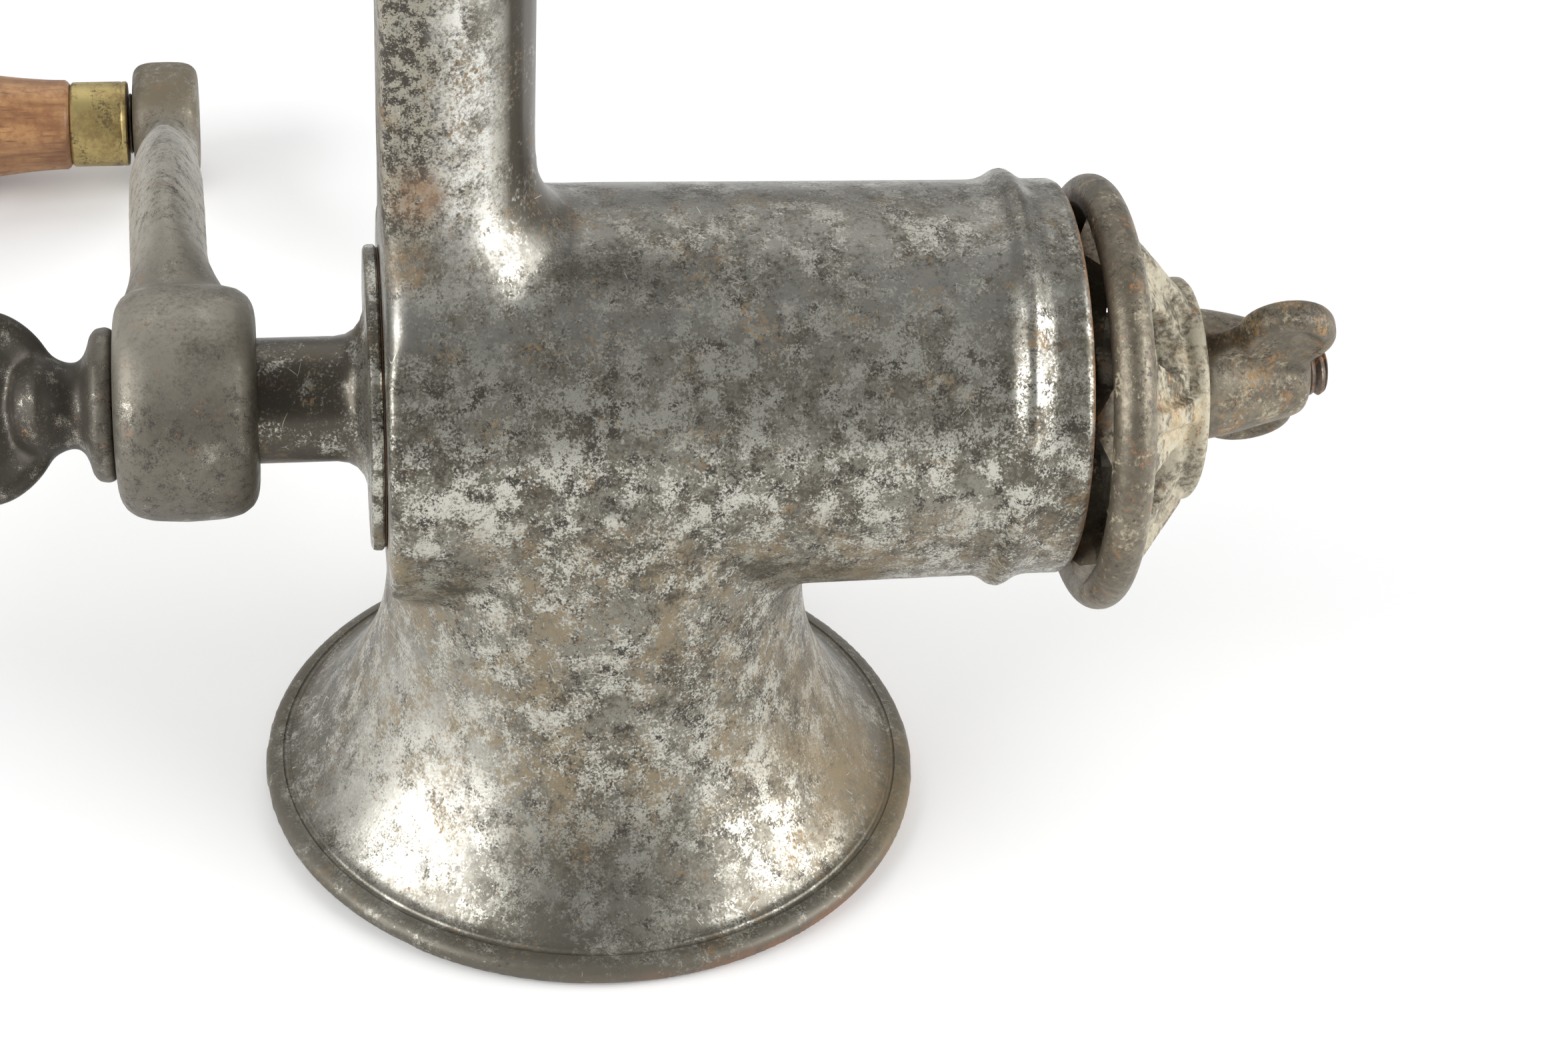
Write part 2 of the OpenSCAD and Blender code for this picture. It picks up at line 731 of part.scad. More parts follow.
module clamp_thumb_pin() {
    color(steel) translate([clamp_x, 0, thumb_z + thumb_pin_z]) rotate([90, 0, 0])
        cylinder(r = thumb_pin_r, h = 2 * thumb_hub_r - 0.6, center = true);
}

body_casting();
feed_screw();
nose_stud();
thrust_washer();
cutter();
cutter_wing_nut();
crank_arm();
crank_thumb_screw();
handle_spindle();
handle_washer();
handle_ferrule();
handle_grip();
handle_end_washer();
clamp_screw();
clamp_thumb_piece();
clamp_thumb_pin();
clamp_pad();
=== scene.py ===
# %% [markdown]
# # A hand crank meat grinder, dressed
#
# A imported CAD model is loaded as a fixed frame, and each of its parts is then made again
# as it really looks: castings with soft corners, a turned wooden grip, rusty threads.
# Every step comes in two cells: one that says what the piece is and how it could be made,
# and one that makes it.

# %% Load the frame
import math

import bmesh
import bpy
from mathutils import Matrix, Vector


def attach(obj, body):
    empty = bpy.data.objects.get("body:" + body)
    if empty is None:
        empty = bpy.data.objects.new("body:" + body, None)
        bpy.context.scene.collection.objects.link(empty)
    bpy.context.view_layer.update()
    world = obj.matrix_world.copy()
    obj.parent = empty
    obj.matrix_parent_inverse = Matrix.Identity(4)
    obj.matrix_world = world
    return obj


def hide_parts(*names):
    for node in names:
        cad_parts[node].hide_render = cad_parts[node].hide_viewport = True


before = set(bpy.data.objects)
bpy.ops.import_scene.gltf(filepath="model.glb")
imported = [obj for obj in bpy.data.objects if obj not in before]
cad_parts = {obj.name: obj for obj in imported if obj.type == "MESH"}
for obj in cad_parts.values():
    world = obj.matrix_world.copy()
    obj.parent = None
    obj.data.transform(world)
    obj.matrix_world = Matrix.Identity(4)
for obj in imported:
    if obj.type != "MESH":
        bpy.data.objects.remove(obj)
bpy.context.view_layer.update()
print("CAD pieces:", len(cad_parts))

# %% [markdown]
# ## Working in millimetres
#
# The frame is in metres. A grinder is drawn in millimetres, so every piece is modelled at
# a thousand times its size and shrunk when it is finished. The three heights below are the
# lines that nearly everything turns about, so most pieces are placed by `about_x`.

# %% Shared sizes
BARREL_H = 81.2  # axis of the barrel
DRIVE_H = 80.6  # axis of the feed screw, which sits a little low in the barrel
CUTTER_H = 78.4  # axis of the cutter, which hangs loose on its square
REAR_X = -35.5  # closed end of the barrel
FRONT_X = 76.0  # open end of the barrel
BARREL_R = 32.8  # outside of the barrel
NECK_R = 35.2  # outside of the hopper's neck
CLAMP_X = 5  # axis of the clamp screw
THROW = 208.5  # from the shaft to the handle
HANDLE_H = 14.5  # axis of the handle, which lies on the floor
TURN = 2 * math.pi
ALONG, UP = Vector((1, 0, 0)), Vector((0, 0, 1))
SHAFT_AXIS = (0, 0, DRIVE_H)


def about_x(height, angle, along=0):
    """A turn about an axis along X at this height, and a shift along it."""
    return Matrix.Translation((along, 0, height)) @ Matrix.Rotation(angle, 4, "X")


def tilted(degrees, axis):
    """A turn about one main axis."""
    return Matrix.Rotation(math.radians(degrees), 4, axis)

# %% [markdown]
# ## Hand tools
#
# An operator works on all that is selected. So each tool first puts everything down, then
# takes up only the piece that it works on. `change` adds a modifier and applies it at once,
# which leaves a plain mesh that the next tool can take up.


# %% Taking pieces up and changing them
def put_down():
    """Leaves edit mode with nothing selected."""
    if bpy.context.mode != "OBJECT":
        bpy.ops.object.mode_set(mode="OBJECT")
    bpy.ops.object.select_all(action="DESELECT")


def take(*pieces):
    """Selects these pieces only; the last one is the active one."""
    put_down()
    for piece in pieces:
        piece.select_set(True)
    bpy.context.view_layer.objects.active = pieces[-1]
    return pieces[-1]


def change(piece, kind, **settings):
    """Adds a modifier of this kind and applies it."""
    take(piece)
    modifier = piece.modifiers.new(kind, kind)
    for name, value in settings.items():
        setattr(modifier, name, value)
    bpy.ops.object.modifier_apply(modifier=modifier.name)
    return piece


def unite(piece, *others):
    """Welds other closed pieces onto this one."""
    for other in others:
        change(piece, "BOOLEAN", operation="UNION", object=other, solver="MANIFOLD")
        bpy.data.objects.remove(other)
    return piece


def cut(piece, *tools, how="DIFFERENCE"):
    """Cuts this piece with closed tools, which are used up."""
    for tool in tools:
        change(piece, "BOOLEAN", operation=how, object=tool, solver="MANIFOLD")
        bpy.data.objects.remove(tool)
    return piece


def lay(piece, place):
    """Moves a piece by a matrix and makes that its rest place."""
    take(piece)
    piece.matrix_world = place
    bpy.ops.object.transform_apply(location=True, rotation=True, scale=True)
    return piece


def copy_of(piece, place):
    """A copy with its own mesh, moved by a matrix."""
    take(piece)
    bpy.ops.object.duplicate()
    return lay(bpy.context.object, place)


# %% [markdown]
# ## Drawing, turning, lofting
#
# Three ways to make a form cover the whole grinder. `draw` extrudes one vertex along a line
# of points. `turned` spins such a line round an axis, as a lathe would. `loft` starts from a
# filled ring and extrudes it from section to section, which suits an arm that bends.


# %% Making forms
def draw(name, points):
    """A line through points, made by extruding one vertex."""
    put_down()
    bpy.ops.mesh.primitive_plane_add(size=0.01)
    line = bpy.context.object
    line.name = name
    bpy.ops.object.mode_set(mode="EDIT")
    bpy.ops.mesh.select_mode(type="VERT")
    bpy.ops.mesh.select_all(action="SELECT")
    bpy.ops.mesh.merge(type="CENTER")
    bpy.ops.transform.translate(value=Vector(points[0]))
    for here, there in zip(points, points[1:]):
        step = Vector(there) - Vector(here)
        bpy.ops.mesh.extrude_region_move(TRANSFORM_OT_translate={"value": step})
    return line


def tidy_skin():
    """Merges doubles, turns every face outwards and leaves edit mode."""
    bpy.ops.mesh.select_all(action="SELECT")
    bpy.ops.mesh.remove_doubles(threshold=0.001)
    bpy.ops.mesh.normals_make_consistent(inside=False)
    put_down()


def turned(name, profile, at=(0, 0, BARREL_H), axis=ALONG, steps=96):
    """A turned piece. The profile holds (distance along the axis, radius)."""
    at = Vector(at)
    out = UP if axis == ALONG else ALONG
    line = draw(name, [at + axis * d + out * r for d, r in profile])
    bpy.ops.mesh.select_all(action="SELECT")
    bpy.ops.mesh.spin(steps=steps, angle=TURN, center=at, axis=axis)
    tidy_skin()
    return line


def loft(name, rings):
    """A closed skin over rings, each with the same number of points."""
    put_down()
    bpy.ops.mesh.primitive_circle_add(vertices=len(rings[0]), fill_type="NGON")
    skin = bpy.context.object
    skin.name = name
    for vertex, point in zip(skin.data.vertices, rings[0]):
        vertex.co = point
    bpy.ops.object.mode_set(mode="EDIT")
    bpy.ops.mesh.select_mode(type="FACE")
    bpy.ops.mesh.select_all(action="SELECT")
    for before, ring in zip(rings, rings[1:]):
        bpy.ops.mesh.extrude_region_move(TRANSFORM_OT_translate={"value": (0, 0, 0)})
        net = bmesh.from_edit_mesh(skin.data)
        fresh = [v for v in net.verts if v.select]
        for old, new in zip(before, ring):
            nearest = min(fresh, key=lambda v: (v.co - Vector(old)).length)
            fresh.remove(nearest)
            nearest.co = new
        bmesh.update_edit_mesh(skin.data)
    tidy_skin()
    return skin


def block(name, low, high, edge=0.0, segments=3):
    """A block between two corners, with all its edges rounded."""
    low, high = Vector(low), Vector(high)
    put_down()
    bpy.ops.mesh.primitive_cube_add(size=1, location=(low + high) / 2)
    piece = bpy.context.object
    piece.name = name
    piece.scale = high - low
    bpy.ops.object.transform_apply(location=True, rotation=True, scale=True)
    if edge:
        bpy.ops.object.mode_set(mode="EDIT")
        bpy.ops.mesh.select_all(action="SELECT")
        bpy.ops.mesh.bevel(offset=edge, segments=segments, affect="EDGES")
        put_down()
    return piece


def rod(name, start, end, radius, vertices=48):
    """A round bar from one point to another."""
    start, end = Vector(start), Vector(end)
    put_down()
    length = (end - start).length
    bpy.ops.mesh.primitive_cylinder_add(vertices=vertices, radius=radius, depth=length)
    piece = bpy.context.object
    piece.name = name
    turn = (end - start).to_track_quat("Z", "Y").to_matrix().to_4x4()
    return lay(piece, Matrix.Translation((start + end) / 2) @ turn)


# %% [markdown]
# ## Castings
#
# Iron is poured, so where two forms meet there is a soft hollow instead of a crease. A bevel
# can't round a seam between a barrel and a funnel. Instead the forms are melted together: a
# voxel remesh gives them one even skin, and a smooth modifier with a vertex group eases that
# skin most where the seams are. What a lathe or a file made sharp is cut again afterwards.


# %% Melting forms into a casting
def fade(distance, near, far):
    """1 up to near, 0 from far on, with a soft slope between."""
    t = min(max((far - distance) / (far - near), 0.0), 1.0)
    return t * t * (3 - 2 * t)


def ease(piece, passes, weight):
    """Smooths the skin. weight says how much, from 0 to 1, at each point."""
    group = piece.vertex_groups.new(name="ease")
    for v in piece.data.vertices:
        group.add([v.index], weight(v.co), "REPLACE")
    change(piece, "SMOOTH", factor=0.5, iterations=passes, vertex_group="ease")
    piece.vertex_groups.clear()
    return piece


def melt(name, forms, voxel, passes, weight):
    """Joins closed forms into one cast skin."""
    take(*forms)
    bpy.ops.object.join()
    piece = bpy.context.object
    piece.name = name
    change(piece, "REMESH", mode="VOXEL", voxel_size=voxel)
    return ease(piece, passes, weight)


# %% [markdown]
# ## Handing a piece over
#
# A finished piece is shaded smooth up to a given angle, painted, shrunk to metres and tied to
# the CAD body that carries it. It hides the plain CAD node that it stands for.


# %% Finishing a piece
def finish_piece(piece, material, body, slot, *nodes, angle=40):
    """Shades a piece, paints it, shrinks it to metres and ties it to its CAD body."""
    take(piece)
    bpy.ops.object.shade_smooth_by_angle(angle=math.radians(angle))
    piece.data.materials.clear()
    piece.data.materials.append(material)
    lay(piece, Matrix.Scale(0.001, 4))
    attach(piece, body)
    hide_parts(*nodes)
    count = sum(len(p.vertices) - 2 for p in piece.data.polygons)
    print(f"{piece.name}: {count} triangles")
    return piece


# %% [markdown]
# ## Finishes
#
# Old metal is patchy: tin wears off in flecks, rust sits in spots, dirt in the hollows. One
# node group makes such patches from two noises at two sizes, and every metal uses it with
# its own sizes and cover. A second group makes the fine relief of a sand casting, and a
# third the thin scratches.


# %% Node groups for patches, relief and scratches
VECTORS = "ShaderNodeVectorMath"


def new_group(name, inputs, output):
    """An empty shader node group with float inputs and one float output."""
    group = bpy.data.node_groups.new(name, "ShaderNodeTree")
    for label, value in inputs.items():
        socket = group.interface.new_socket(label, in_out="INPUT", socket_type="NodeSocketFloat")
        socket.default_value = value
    group.interface.new_socket(output, in_out="OUTPUT", socket_type="NodeSocketFloat")
    return group, group.nodes.new("NodeGroupInput"), group.nodes.new("NodeGroupOutput")


def node(tree, kind, settings=None, **inputs):
    """Adds a node. Inputs are values or sockets of other nodes."""
    made = tree.nodes.new(kind)
    for name, value in (settings or {}).items():
        setattr(made, name, value)
    for name, value in inputs.items():
        key = name.replace("_", " ")
        socket = made.inputs[int(key[1:])] if key[1:].isdigit() else made.inputs[key]
        if isinstance(value, bpy.types.NodeSocket):
            tree.links.new(value, socket)
        else:
            socket.default_value = value
    return made


def reckon(tree, operation, *values, kind="ShaderNodeMath"):
    """One step of arithmetic on values or sockets."""
    inputs = {f"i{k}": value for k, value in enumerate(values)}
    return node(tree, kind, {"operation": operation}, **inputs).outputs[0]


def ramp(tree, value, start, full, kind="LINEAR", **ends):
    """0 before start and 1 after full, or other ends."""
    return node(tree, "ShaderNodeMapRange", {"interpolation_type": kind}, Value=value,
                From_Min=start, From_Max=full, **ends).outputs[0]


def noise(tree, place, detail, roughness=0.5, distortion=0.0, scale=1.0):
    """A noise texture's grey value."""
    return node(tree, "ShaderNodeTexNoise", Vector=place, Scale=scale, Detail=detail,
                Roughness=roughness, Distortion=distortion).outputs["Fac"]


def millimetres(tree, size, seed, stretch=(1, 1, 1)):
    """Object coordinates in units of size millimetres, shifted by a seed."""
    place = node(tree, "ShaderNodeTexCoord").outputs["Object"]
    scale = reckon(tree, "DIVIDE", 1000.0, size)
    wide = node(tree, VECTORS, {"operation": "SCALE"}, Vector=place, Scale=scale)
    shaped = reckon(tree, "MULTIPLY", wide.outputs[0], stretch, kind=VECTORS)
    return reckon(tree, "ADD", shaped, seed, kind=VECTORS)


def patch_group():
    """Patches: fine flecks that crowd together where a wide noise is high."""
    tree, given, result = new_group(
        "patches", {"Size": 1.0, "Clouds": 10.0, "Cover": 0.5, "Softness": 0.03, "Seed": 0.0}, "Mask")
    size, clouds, cover, softness, seed = (
        given.outputs[label] for label in ("Size", "Clouds", "Cover", "Softness", "Seed"))
    fine = noise(tree, millimetres(tree, size, seed), 6.0, 0.7, 0.2)
    wide = noise(tree, millimetres(tree, clouds, seed), 5.0, 0.65)
    level = reckon(tree, "MULTIPLY", reckon(tree, "ADD", fine, wide), 0.5)
    middle = node(tree, "ShaderNodeMapRange", {"clamp": False}, Value=cover, To_Min=0.65, To_Max=0.35)
    edge = middle.outputs[0]
    start, full = reckon(tree, "SUBTRACT", edge, softness), reckon(tree, "ADD", edge, softness)
    tree.links.new(ramp(tree, level, start, full, "SMOOTHSTEP"), result.inputs["Mask"])
    return tree


def relief_group():
    """Height of a sand casting: soft waves with fine grain on top, in millimetres."""
    tree, given, result = new_group(
        "sand_relief", {"Waves": 0.05, "Grain": 0.03, "Seed": 0.0}, "Height")
    seed = given.outputs["Seed"]
    wide = noise(tree, millimetres(tree, 7.0, seed), 2.0)
    fine = noise(tree, millimetres(tree, 0.7, seed), 5.0, 0.65)
    waves = reckon(tree, "MULTIPLY", wide, given.outputs["Waves"])
    height = reckon(tree, "MULTIPLY_ADD", fine, given.outputs["Grain"], waves)
    tree.links.new(height, result.inputs["Height"])
    return tree


def scratch_group():
    """Hair-thin bright scratches: edges of distorted cells, broken up by a noise."""
    tree, given, result = new_group(
        "scratches", {"Size": 9.0, "Width": 0.006, "Cover": 0.4, "Seed": 0.0}, "Mask")
    place = millimetres(tree, given.outputs["Size"], given.outputs["Seed"], (1, 0.55, 0.8))
    bend = node(tree, "ShaderNodeTexNoise", Vector=place, Scale=0.6, Detail=1.0)
    bent = reckon(tree, "MULTIPLY_ADD", bend.outputs["Color"], (1.6, 1.6, 1.6), place, kind=VECTORS)
    cells = node(tree, "ShaderNodeTexVoronoi", {"feature": "DISTANCE_TO_EDGE"}, Vector=bent, Scale=1.0)
    line = ramp(tree, cells.outputs["Distance"], given.outputs["Width"], 0.0)
    gaps = noise(tree, place, 2.0, scale=2.2)
    edge = node(tree, "ShaderNodeMapRange", Value=given.outputs["Cover"], To_Min=0.7, To_Max=0.3).outputs[0]
    broken = ramp(tree, reckon(tree, "SUBTRACT", gaps, edge), 0.0, 0.06)
    tree.links.new(reckon(tree, "MULTIPLY", line, broken), result.inputs["Mask"])
    return tree


PATCHES, RELIEF, SCRATCHES = patch_group(), relief_group(), scratch_group()
print("Node groups:", PATCHES.name, RELIEF.name, SCRATCHES.name)

# %% [markdown]
# A metal is a stack of layers. Each has a colour, a roughness and a patch mask that says
# where it lies on the layers below. A layer can also be kept to a part of the object, such
# as the machined edge of the barrel, where rust creeps in first.


# %% Building a metal
def spot(centre, radius):
    """A place mask: 1 at the centre, 0 from the radius on, all in millimetres."""
    def build(tree):
        place = millimetres(tree, 1.0, (0, 0, 0))
        off = node(tree, VECTORS, {"operation": "DISTANCE"}, i0=place, i1=centre)
        return ramp(tree, off.outputs["Value"], radius, 0.0, "SMOOTHSTEP")
    return build


def slab(axis, start, full):
    """A place mask along one axis: 0 before start, 1 after full, in millimetres."""
    def build(tree):
        place = millimetres(tree, 1.0, (0, 0, 0))
        parts = node(tree, "ShaderNodeSeparateXYZ", Vector=place)
        return ramp(tree, parts.outputs[axis], start, full)
    return build


def mix(tree, kind, factor, low, high):
    """Blends two values or sockets, of kind FLOAT or RGBA."""
    first, result = {"FLOAT": (2, 0), "RGBA": (6, 2)}[kind]
    inputs = {f"i{first}": low, f"i{first + 1}": high}
    return node(tree, "ShaderNodeMix", {"data_type": kind}, Factor=factor, **inputs).outputs[result]


def mask_of(tree, size, clouds, cover, softness, seed):
    """One use of the patch group."""
    return node(tree, "ShaderNodeGroup", {"node_tree": PATCHES}, Size=size, Clouds=clouds, Cover=cover,
                Softness=softness, Seed=seed).outputs["Mask"]


def new_finish(name):
    """A new material with its node tree and its shader."""
    material = bpy.data.materials.new(name)
    material.use_nodes = True
    return material, material.node_tree, material.node_tree.nodes["Principled BSDF"]


def metal(name, base, layers, waves, grain, seed=0.0, scratched=0.0):
    """A stack of layers on a base.

    The base is (colour, roughness, metallic). A layer adds the sizes of its flecks and of
    their clouds in millimetres, how much it covers, how soft its edges are, and the places
    that it is kept to.
    """
    material, tree, shader = new_finish(name)
    colour, rough, metallic = (*base[0], 1.0), base[1], base[2]
    for k, (tint, roughness, metalness, size, clouds, cover, softness, *places) in enumerate(layers):
        where = mask_of(tree, size, clouds, cover, softness, seed + 17.3 * k)
        for place in places:
            where = reckon(tree, "MULTIPLY", where, place(tree))
        colour = mix(tree, "RGBA", where, colour, (*tint, 1.0))
        rough = mix(tree, "FLOAT", where, rough, roughness)
        metallic = mix(tree, "FLOAT", where, metallic, metalness)
    if scratched:
        marks = node(tree, "ShaderNodeGroup", {"node_tree": SCRATCHES}, Cover=scratched, Seed=seed + 3.1)
        colour = mix(tree, "RGBA", marks.outputs["Mask"], colour, (0.62, 0.60, 0.54, 1.0))
        rough = mix(tree, "FLOAT", marks.outputs["Mask"], rough, 0.3)
    tree.links.new(colour, shader.inputs["Base Color"])
    tree.links.new(rough, shader.inputs["Roughness"])
    tree.links.new(metallic, shader.inputs["Metallic"])
    relief = node(tree, "ShaderNodeGroup", {"node_tree": RELIEF}, Waves=waves, Grain=grain, Seed=seed)
    bump = node(tree, "ShaderNodeBump", Height=relief.outputs["Height"], Strength=1.0, Distance=0.001)
    tree.links.new(bump.outputs[0], shader.inputs["Normal"])
    return material


# %% [markdown]
# The tin on the body has worn to a dark skin with pale flecks, with brown stains here and
# there. Handling has polished the leg's round corner and dulled the rest of it; the corner
# is made paler still as a painted highlight, and the dark band beside it is a painted dark
# reflection. A pale patch on the bell's left flank is partly a painted highlight. The crank
# was never tinned: it is even, grey-brown and a little sparkling, with a painted top light
# on its hub and painted shade under the arm's hump. The cutter and its nut are darker and
# hold dry residue.

# %% The metals
OXIDE, TIN = (0.088, 0.078, 0.058), (0.50, 0.49, 0.43)
RUST, STAIN = (0.27, 0.125, 0.045), (0.20, 0.135, 0.07)
LEG_FRONT = (slab(0, -9, -13), slab(2, 112, 126))
tinned = metal(
    "worn_tin", (OXIDE, 0.42, 0.65),
    [  # half-worn tin, bright flecks and pits all over
     ((0.23, 0.22, 0.185), 0.38, 0.85, 1.0, 14.0, 0.50, 0.08),
     (TIN, 0.26, 0.85, 0.45, 5.0, 0.44, 0.035),
     ((0.04, 0.034, 0.026), 0.45, 0.4, 0.4, 3.0, 0.34, 0.03),
     # greyer tin on the leg and near the mouth; a pale patch on the bell is partly painted highlight
     ((0.27, 0.265, 0.24), 0.32, 0.9, 1.0, 10.0, 0.46, 0.08, slab(2, 101, 110)),
     ((0.15, 0.14, 0.115), 0.38, 0.85, 1.0, 12.0, 0.52, 0.08, slab(2, 22, 6)),
     # pale tin on the bell's left flank: partly a painted highlight where the left lamp reflects
     ((0.56, 0.55, 0.50), 0.30, 0.95, 0.45, 6.0, 0.62, 0.05, spot((-40, -28, 26), 34)),
     # the leg: a dull cream face with dark specks, a polished corner with a painted highlight, and a painted
     # dark reflection beside it
     ((0.31, 0.29, 0.23), 0.40, 0.7, 0.5, 4.5, 0.64, 0.06, slab(2, 114, 128), slab(0, -17, -23)),
     ((0.040, 0.033, 0.024), 0.50, 0.3, 0.35, 2.0, 0.50, 0.03, slab(2, 108, 124), slab(0, -18, -23)),
     # polished tin on the corner, made paler still as a painted highlight where the lamp reflects
     ((0.68, 0.67, 0.62), 0.22, 1.0, 0.6, 6.0, 0.50, 0.08, slab(0, -29, -24), *LEG_FRONT),
     # painted dark reflection: dark tin down the side of the leg's round corner, where the barrel's top is
     # reflected
     ((0.075, 0.066, 0.050), 0.30, 0.6, 0.8, 7.0, 0.84, 0.08, slab(0, -19.0, -15.5), slab(2, 111, 119)),
     # the oily shaft, a darker rim band with rust on one side, the dark machined lip
     ((0.075, 0.065, 0.05), 0.30, 0.7, 0.5, 6.0, 0.66, 0.06, slab(0, -38.6, -40.5), slab(2, 62, 66)),
     ((0.11, 0.10, 0.078), 0.48, 0.5, 0.8, 6.0, 0.72, 0.08, slab(2, 5.2, 3.8)),
     ((0.21, 0.11, 0.065), 0.6, 0.2, 0.8, 6.0, 0.56, 0.06, slab(2, 3.6, 1.8), slab(0, -12, 25)),
     (OXIDE, 0.40, 0.7, 0.7, 6.0, 0.34, 0.06, slab(0, 70.5, 73.0), slab(0, 78.0, 76.0)),
     # brown stains, and rust where the tin is gone
     (STAIN, 0.5, 0.4, 0.8, 8.0, 0.17, 0.04),
     ((0.22, 0.175, 0.11), 0.50, 0.4, 0.9, 7.0, 0.36, 0.07, slab(2, 82, 72), slab(2, 12, 26)),
     ((0.24, 0.15, 0.085), 0.55, 0.2, 0.8, 4.0, 0.62, 0.10, spot((-30, -14, 128), 7)),
     (STAIN, 0.55, 0.2, 0.8, 4.0, 0.56, 0.10, spot((-31.5, -16, 117), 6)),
     ((0.24, 0.18, 0.10), 0.45, 0.5, 1.0, 10.0, 0.62, 0.10, spot((48, -18, 18), 34)),
     (RUST, 0.7, 0.1, 0.5, 3.0, 0.62, 0.06, slab(0, 75.2, 76.0))],
    waves=0.05, grain=0.03, scratched=0.20)
bare = metal(
    "bare_iron", ((0.125, 0.113, 0.09), 0.5, 0.7),
    [((0.165, 0.15, 0.122), 0.47, 0.75, 0.8, 10.0, 0.5, 0.12),
     # a paler arm with pits, and a painted top light on the hub
     ((0.34, 0.32, 0.27), 0.50, 0.6, 0.7, 9.0, 0.72, 0.12, slab(1, 14, 30)),
     ((0.05, 0.043, 0.034), 0.55, 0.4, 0.3, 2.0, 0.34, 0.05),
     # painted top light: paler iron on the top of the hub, where light from above falls
     ((0.27, 0.25, 0.205), 0.52, 0.6, 0.7, 9.0, 0.66, 0.12, slab(2, 90, 99), slab(1, 40, 30)),
     # a browner handle boss with painted shade and some grime under the arm's hump, and the dark thumb screw
     ((0.15, 0.125, 0.085), 0.60, 0.4, 0.7, 7.0, 0.74, 0.10, slab(1, 182, 190)),
     # painted shade with some grime: the boss's lower front, under the arm's hump
     ((0.07, 0.058, 0.04), 0.60, 0.3, 0.7, 7.0, 0.74, 0.10, spot((-77, 186, 12), 13)),
     ((0.042, 0.036, 0.027), 0.50, 0.5, 0.6, 6.0, 0.84, 0.08, slab(0, -79, -84)),
     # sparkle and a few specks of rust
     ((0.34, 0.32, 0.27), 0.35, 0.9, 0.14, 4.0, 0.24, 0.02),
     (RUST, 0.7, 0.1, 0.4, 4.0, 0.10, 0.03)],
    waves=0.04, grain=0.05, seed=40.0)
dirty = metal(
    "dirty_iron", ((0.125, 0.107, 0.079), 0.46, 0.65),
    [((0.205, 0.18, 0.135), 0.42, 0.75, 1.4, 9.0, 0.46, 0.08),
     ((0.06, 0.05, 0.038), 0.5, 0.4, 0.6, 5.0, 0.28, 0.03),
     # the ground faces of the blades
     ((0.26, 0.235, 0.19), 0.36, 0.8, 0.8, 5.0, 0.40, 0.06, slab(0, 79.6, 77.8)),
     # dry residue all over, thick on the cone and hub, yellow in one place; a rusty nut
     ((0.36, 0.315, 0.22), 0.7, 0.1, 0.8, 6.0, 0.24, 0.05),
     ((0.44, 0.40, 0.30), 0.7, 0.1, 1.2, 8.0, 0.54, 0.07, slab(0, 84.5, 88.0), slab(0, 100.0, 98.0)),
     ((0.40, 0.27, 0.11), 0.75, 0.1, 0.7, 5.0, 0.40, 0.03, spot((90, -18, 88), 13)),
     ((0.30, 0.18, 0.075), 0.7, 0.1, 0.7, 6.0, 0.30, 0.04, slab(0, 98.5, 99.5)),
     (RUST, 0.7, 0.1, 0.7, 6.0, 0.18, 0.03)],
    waves=0.08, grain=0.07, seed=80.0)
steel = metal(
    "dark_steel", ((0.15, 0.12, 0.095), 0.4, 0.8),
    [((0.07, 0.05, 0.038), 0.55, 0.4, 0.8, 5.0, 0.45, 0.08),
     (RUST, 0.7, 0.1, 0.8, 4.0, 0.25, 0.04)],
    waves=0.02, grain=0.03, seed=120.0)
brass = metal(
    "old_brass", ((0.45, 0.36, 0.155), 0.42, 0.9),
    [((0.29, 0.205, 0.085), 0.45, 0.8, 1.6, 8.0, 0.45, 0.10),
     ((0.11, 0.08, 0.035), 0.5, 0.5, 0.6, 5.0, 0.28, 0.05)],
    waves=0.02, grain=0.015, seed=160.0)
fibre = metal(
    "oily_fibre", ((0.12, 0.05, 0.025), 0.7, 0.0),
    [((0.05, 0.028, 0.018), 0.6, 0.0, 1.0, 4.0, 0.4, 0.1)],
    waves=0.03, grain=0.05, seed=200.0)


# %% [markdown]
# The grip is a light hardwood, worn smooth. Its grain runs along the handle, so the noise is
# stretched a good deal along X, and fine dark pores are stretched even more.

# %% Wood
def wood_finish():
    """Light and dark bands, dark pores and a thin brown stain where the varnish is worn."""
    material, tree, shader = new_finish("worn_wood")
    bands = noise(tree, millimetres(tree, 4.0, (3, 3, 3), (0.06, 1, 1)), 4.0, 0.6, 0.4)
    pores = noise(tree, millimetres(tree, 0.8, (9, 9, 9), (0.05, 1, 1)), 3.0, 0.6)
    worn = mask_of(tree, 2.0, 12.0, 0.50, 0.10, 31.0)
    tint = node(tree, "ShaderNodeValToRGB", Fac=bands)
    dark, light = tint.color_ramp.elements
    dark.position, dark.color = 0.36, (0.185, 0.085, 0.036, 1)
    light.position, light.color = 0.60, (0.40, 0.215, 0.09, 1)
    closed = ramp(tree, pores, 0.28, 0.42)
    grain = mix(tree, "RGBA", closed, (0.12, 0.055, 0.028, 1), tint.outputs["Color"])
    stained = mix(tree, "RGBA", worn, grain, (0.17, 0.068, 0.03, 1))
    tree.links.new(mix(tree, "RGBA", 0.7, grain, stained), shader.inputs["Base Color"])
    shader.inputs["Roughness"].default_value = 0.45
    height = reckon(tree, "MULTIPLY", closed, 0.05)
    bump = node(tree, "ShaderNodeBump", Height=height, Strength=1.0, Distance=0.001)
    tree.links.new(bump.outputs[0], shader.inputs["Normal"])
    return material


wood = wood_finish()
print("Finishes:", len(bpy.data.materials))

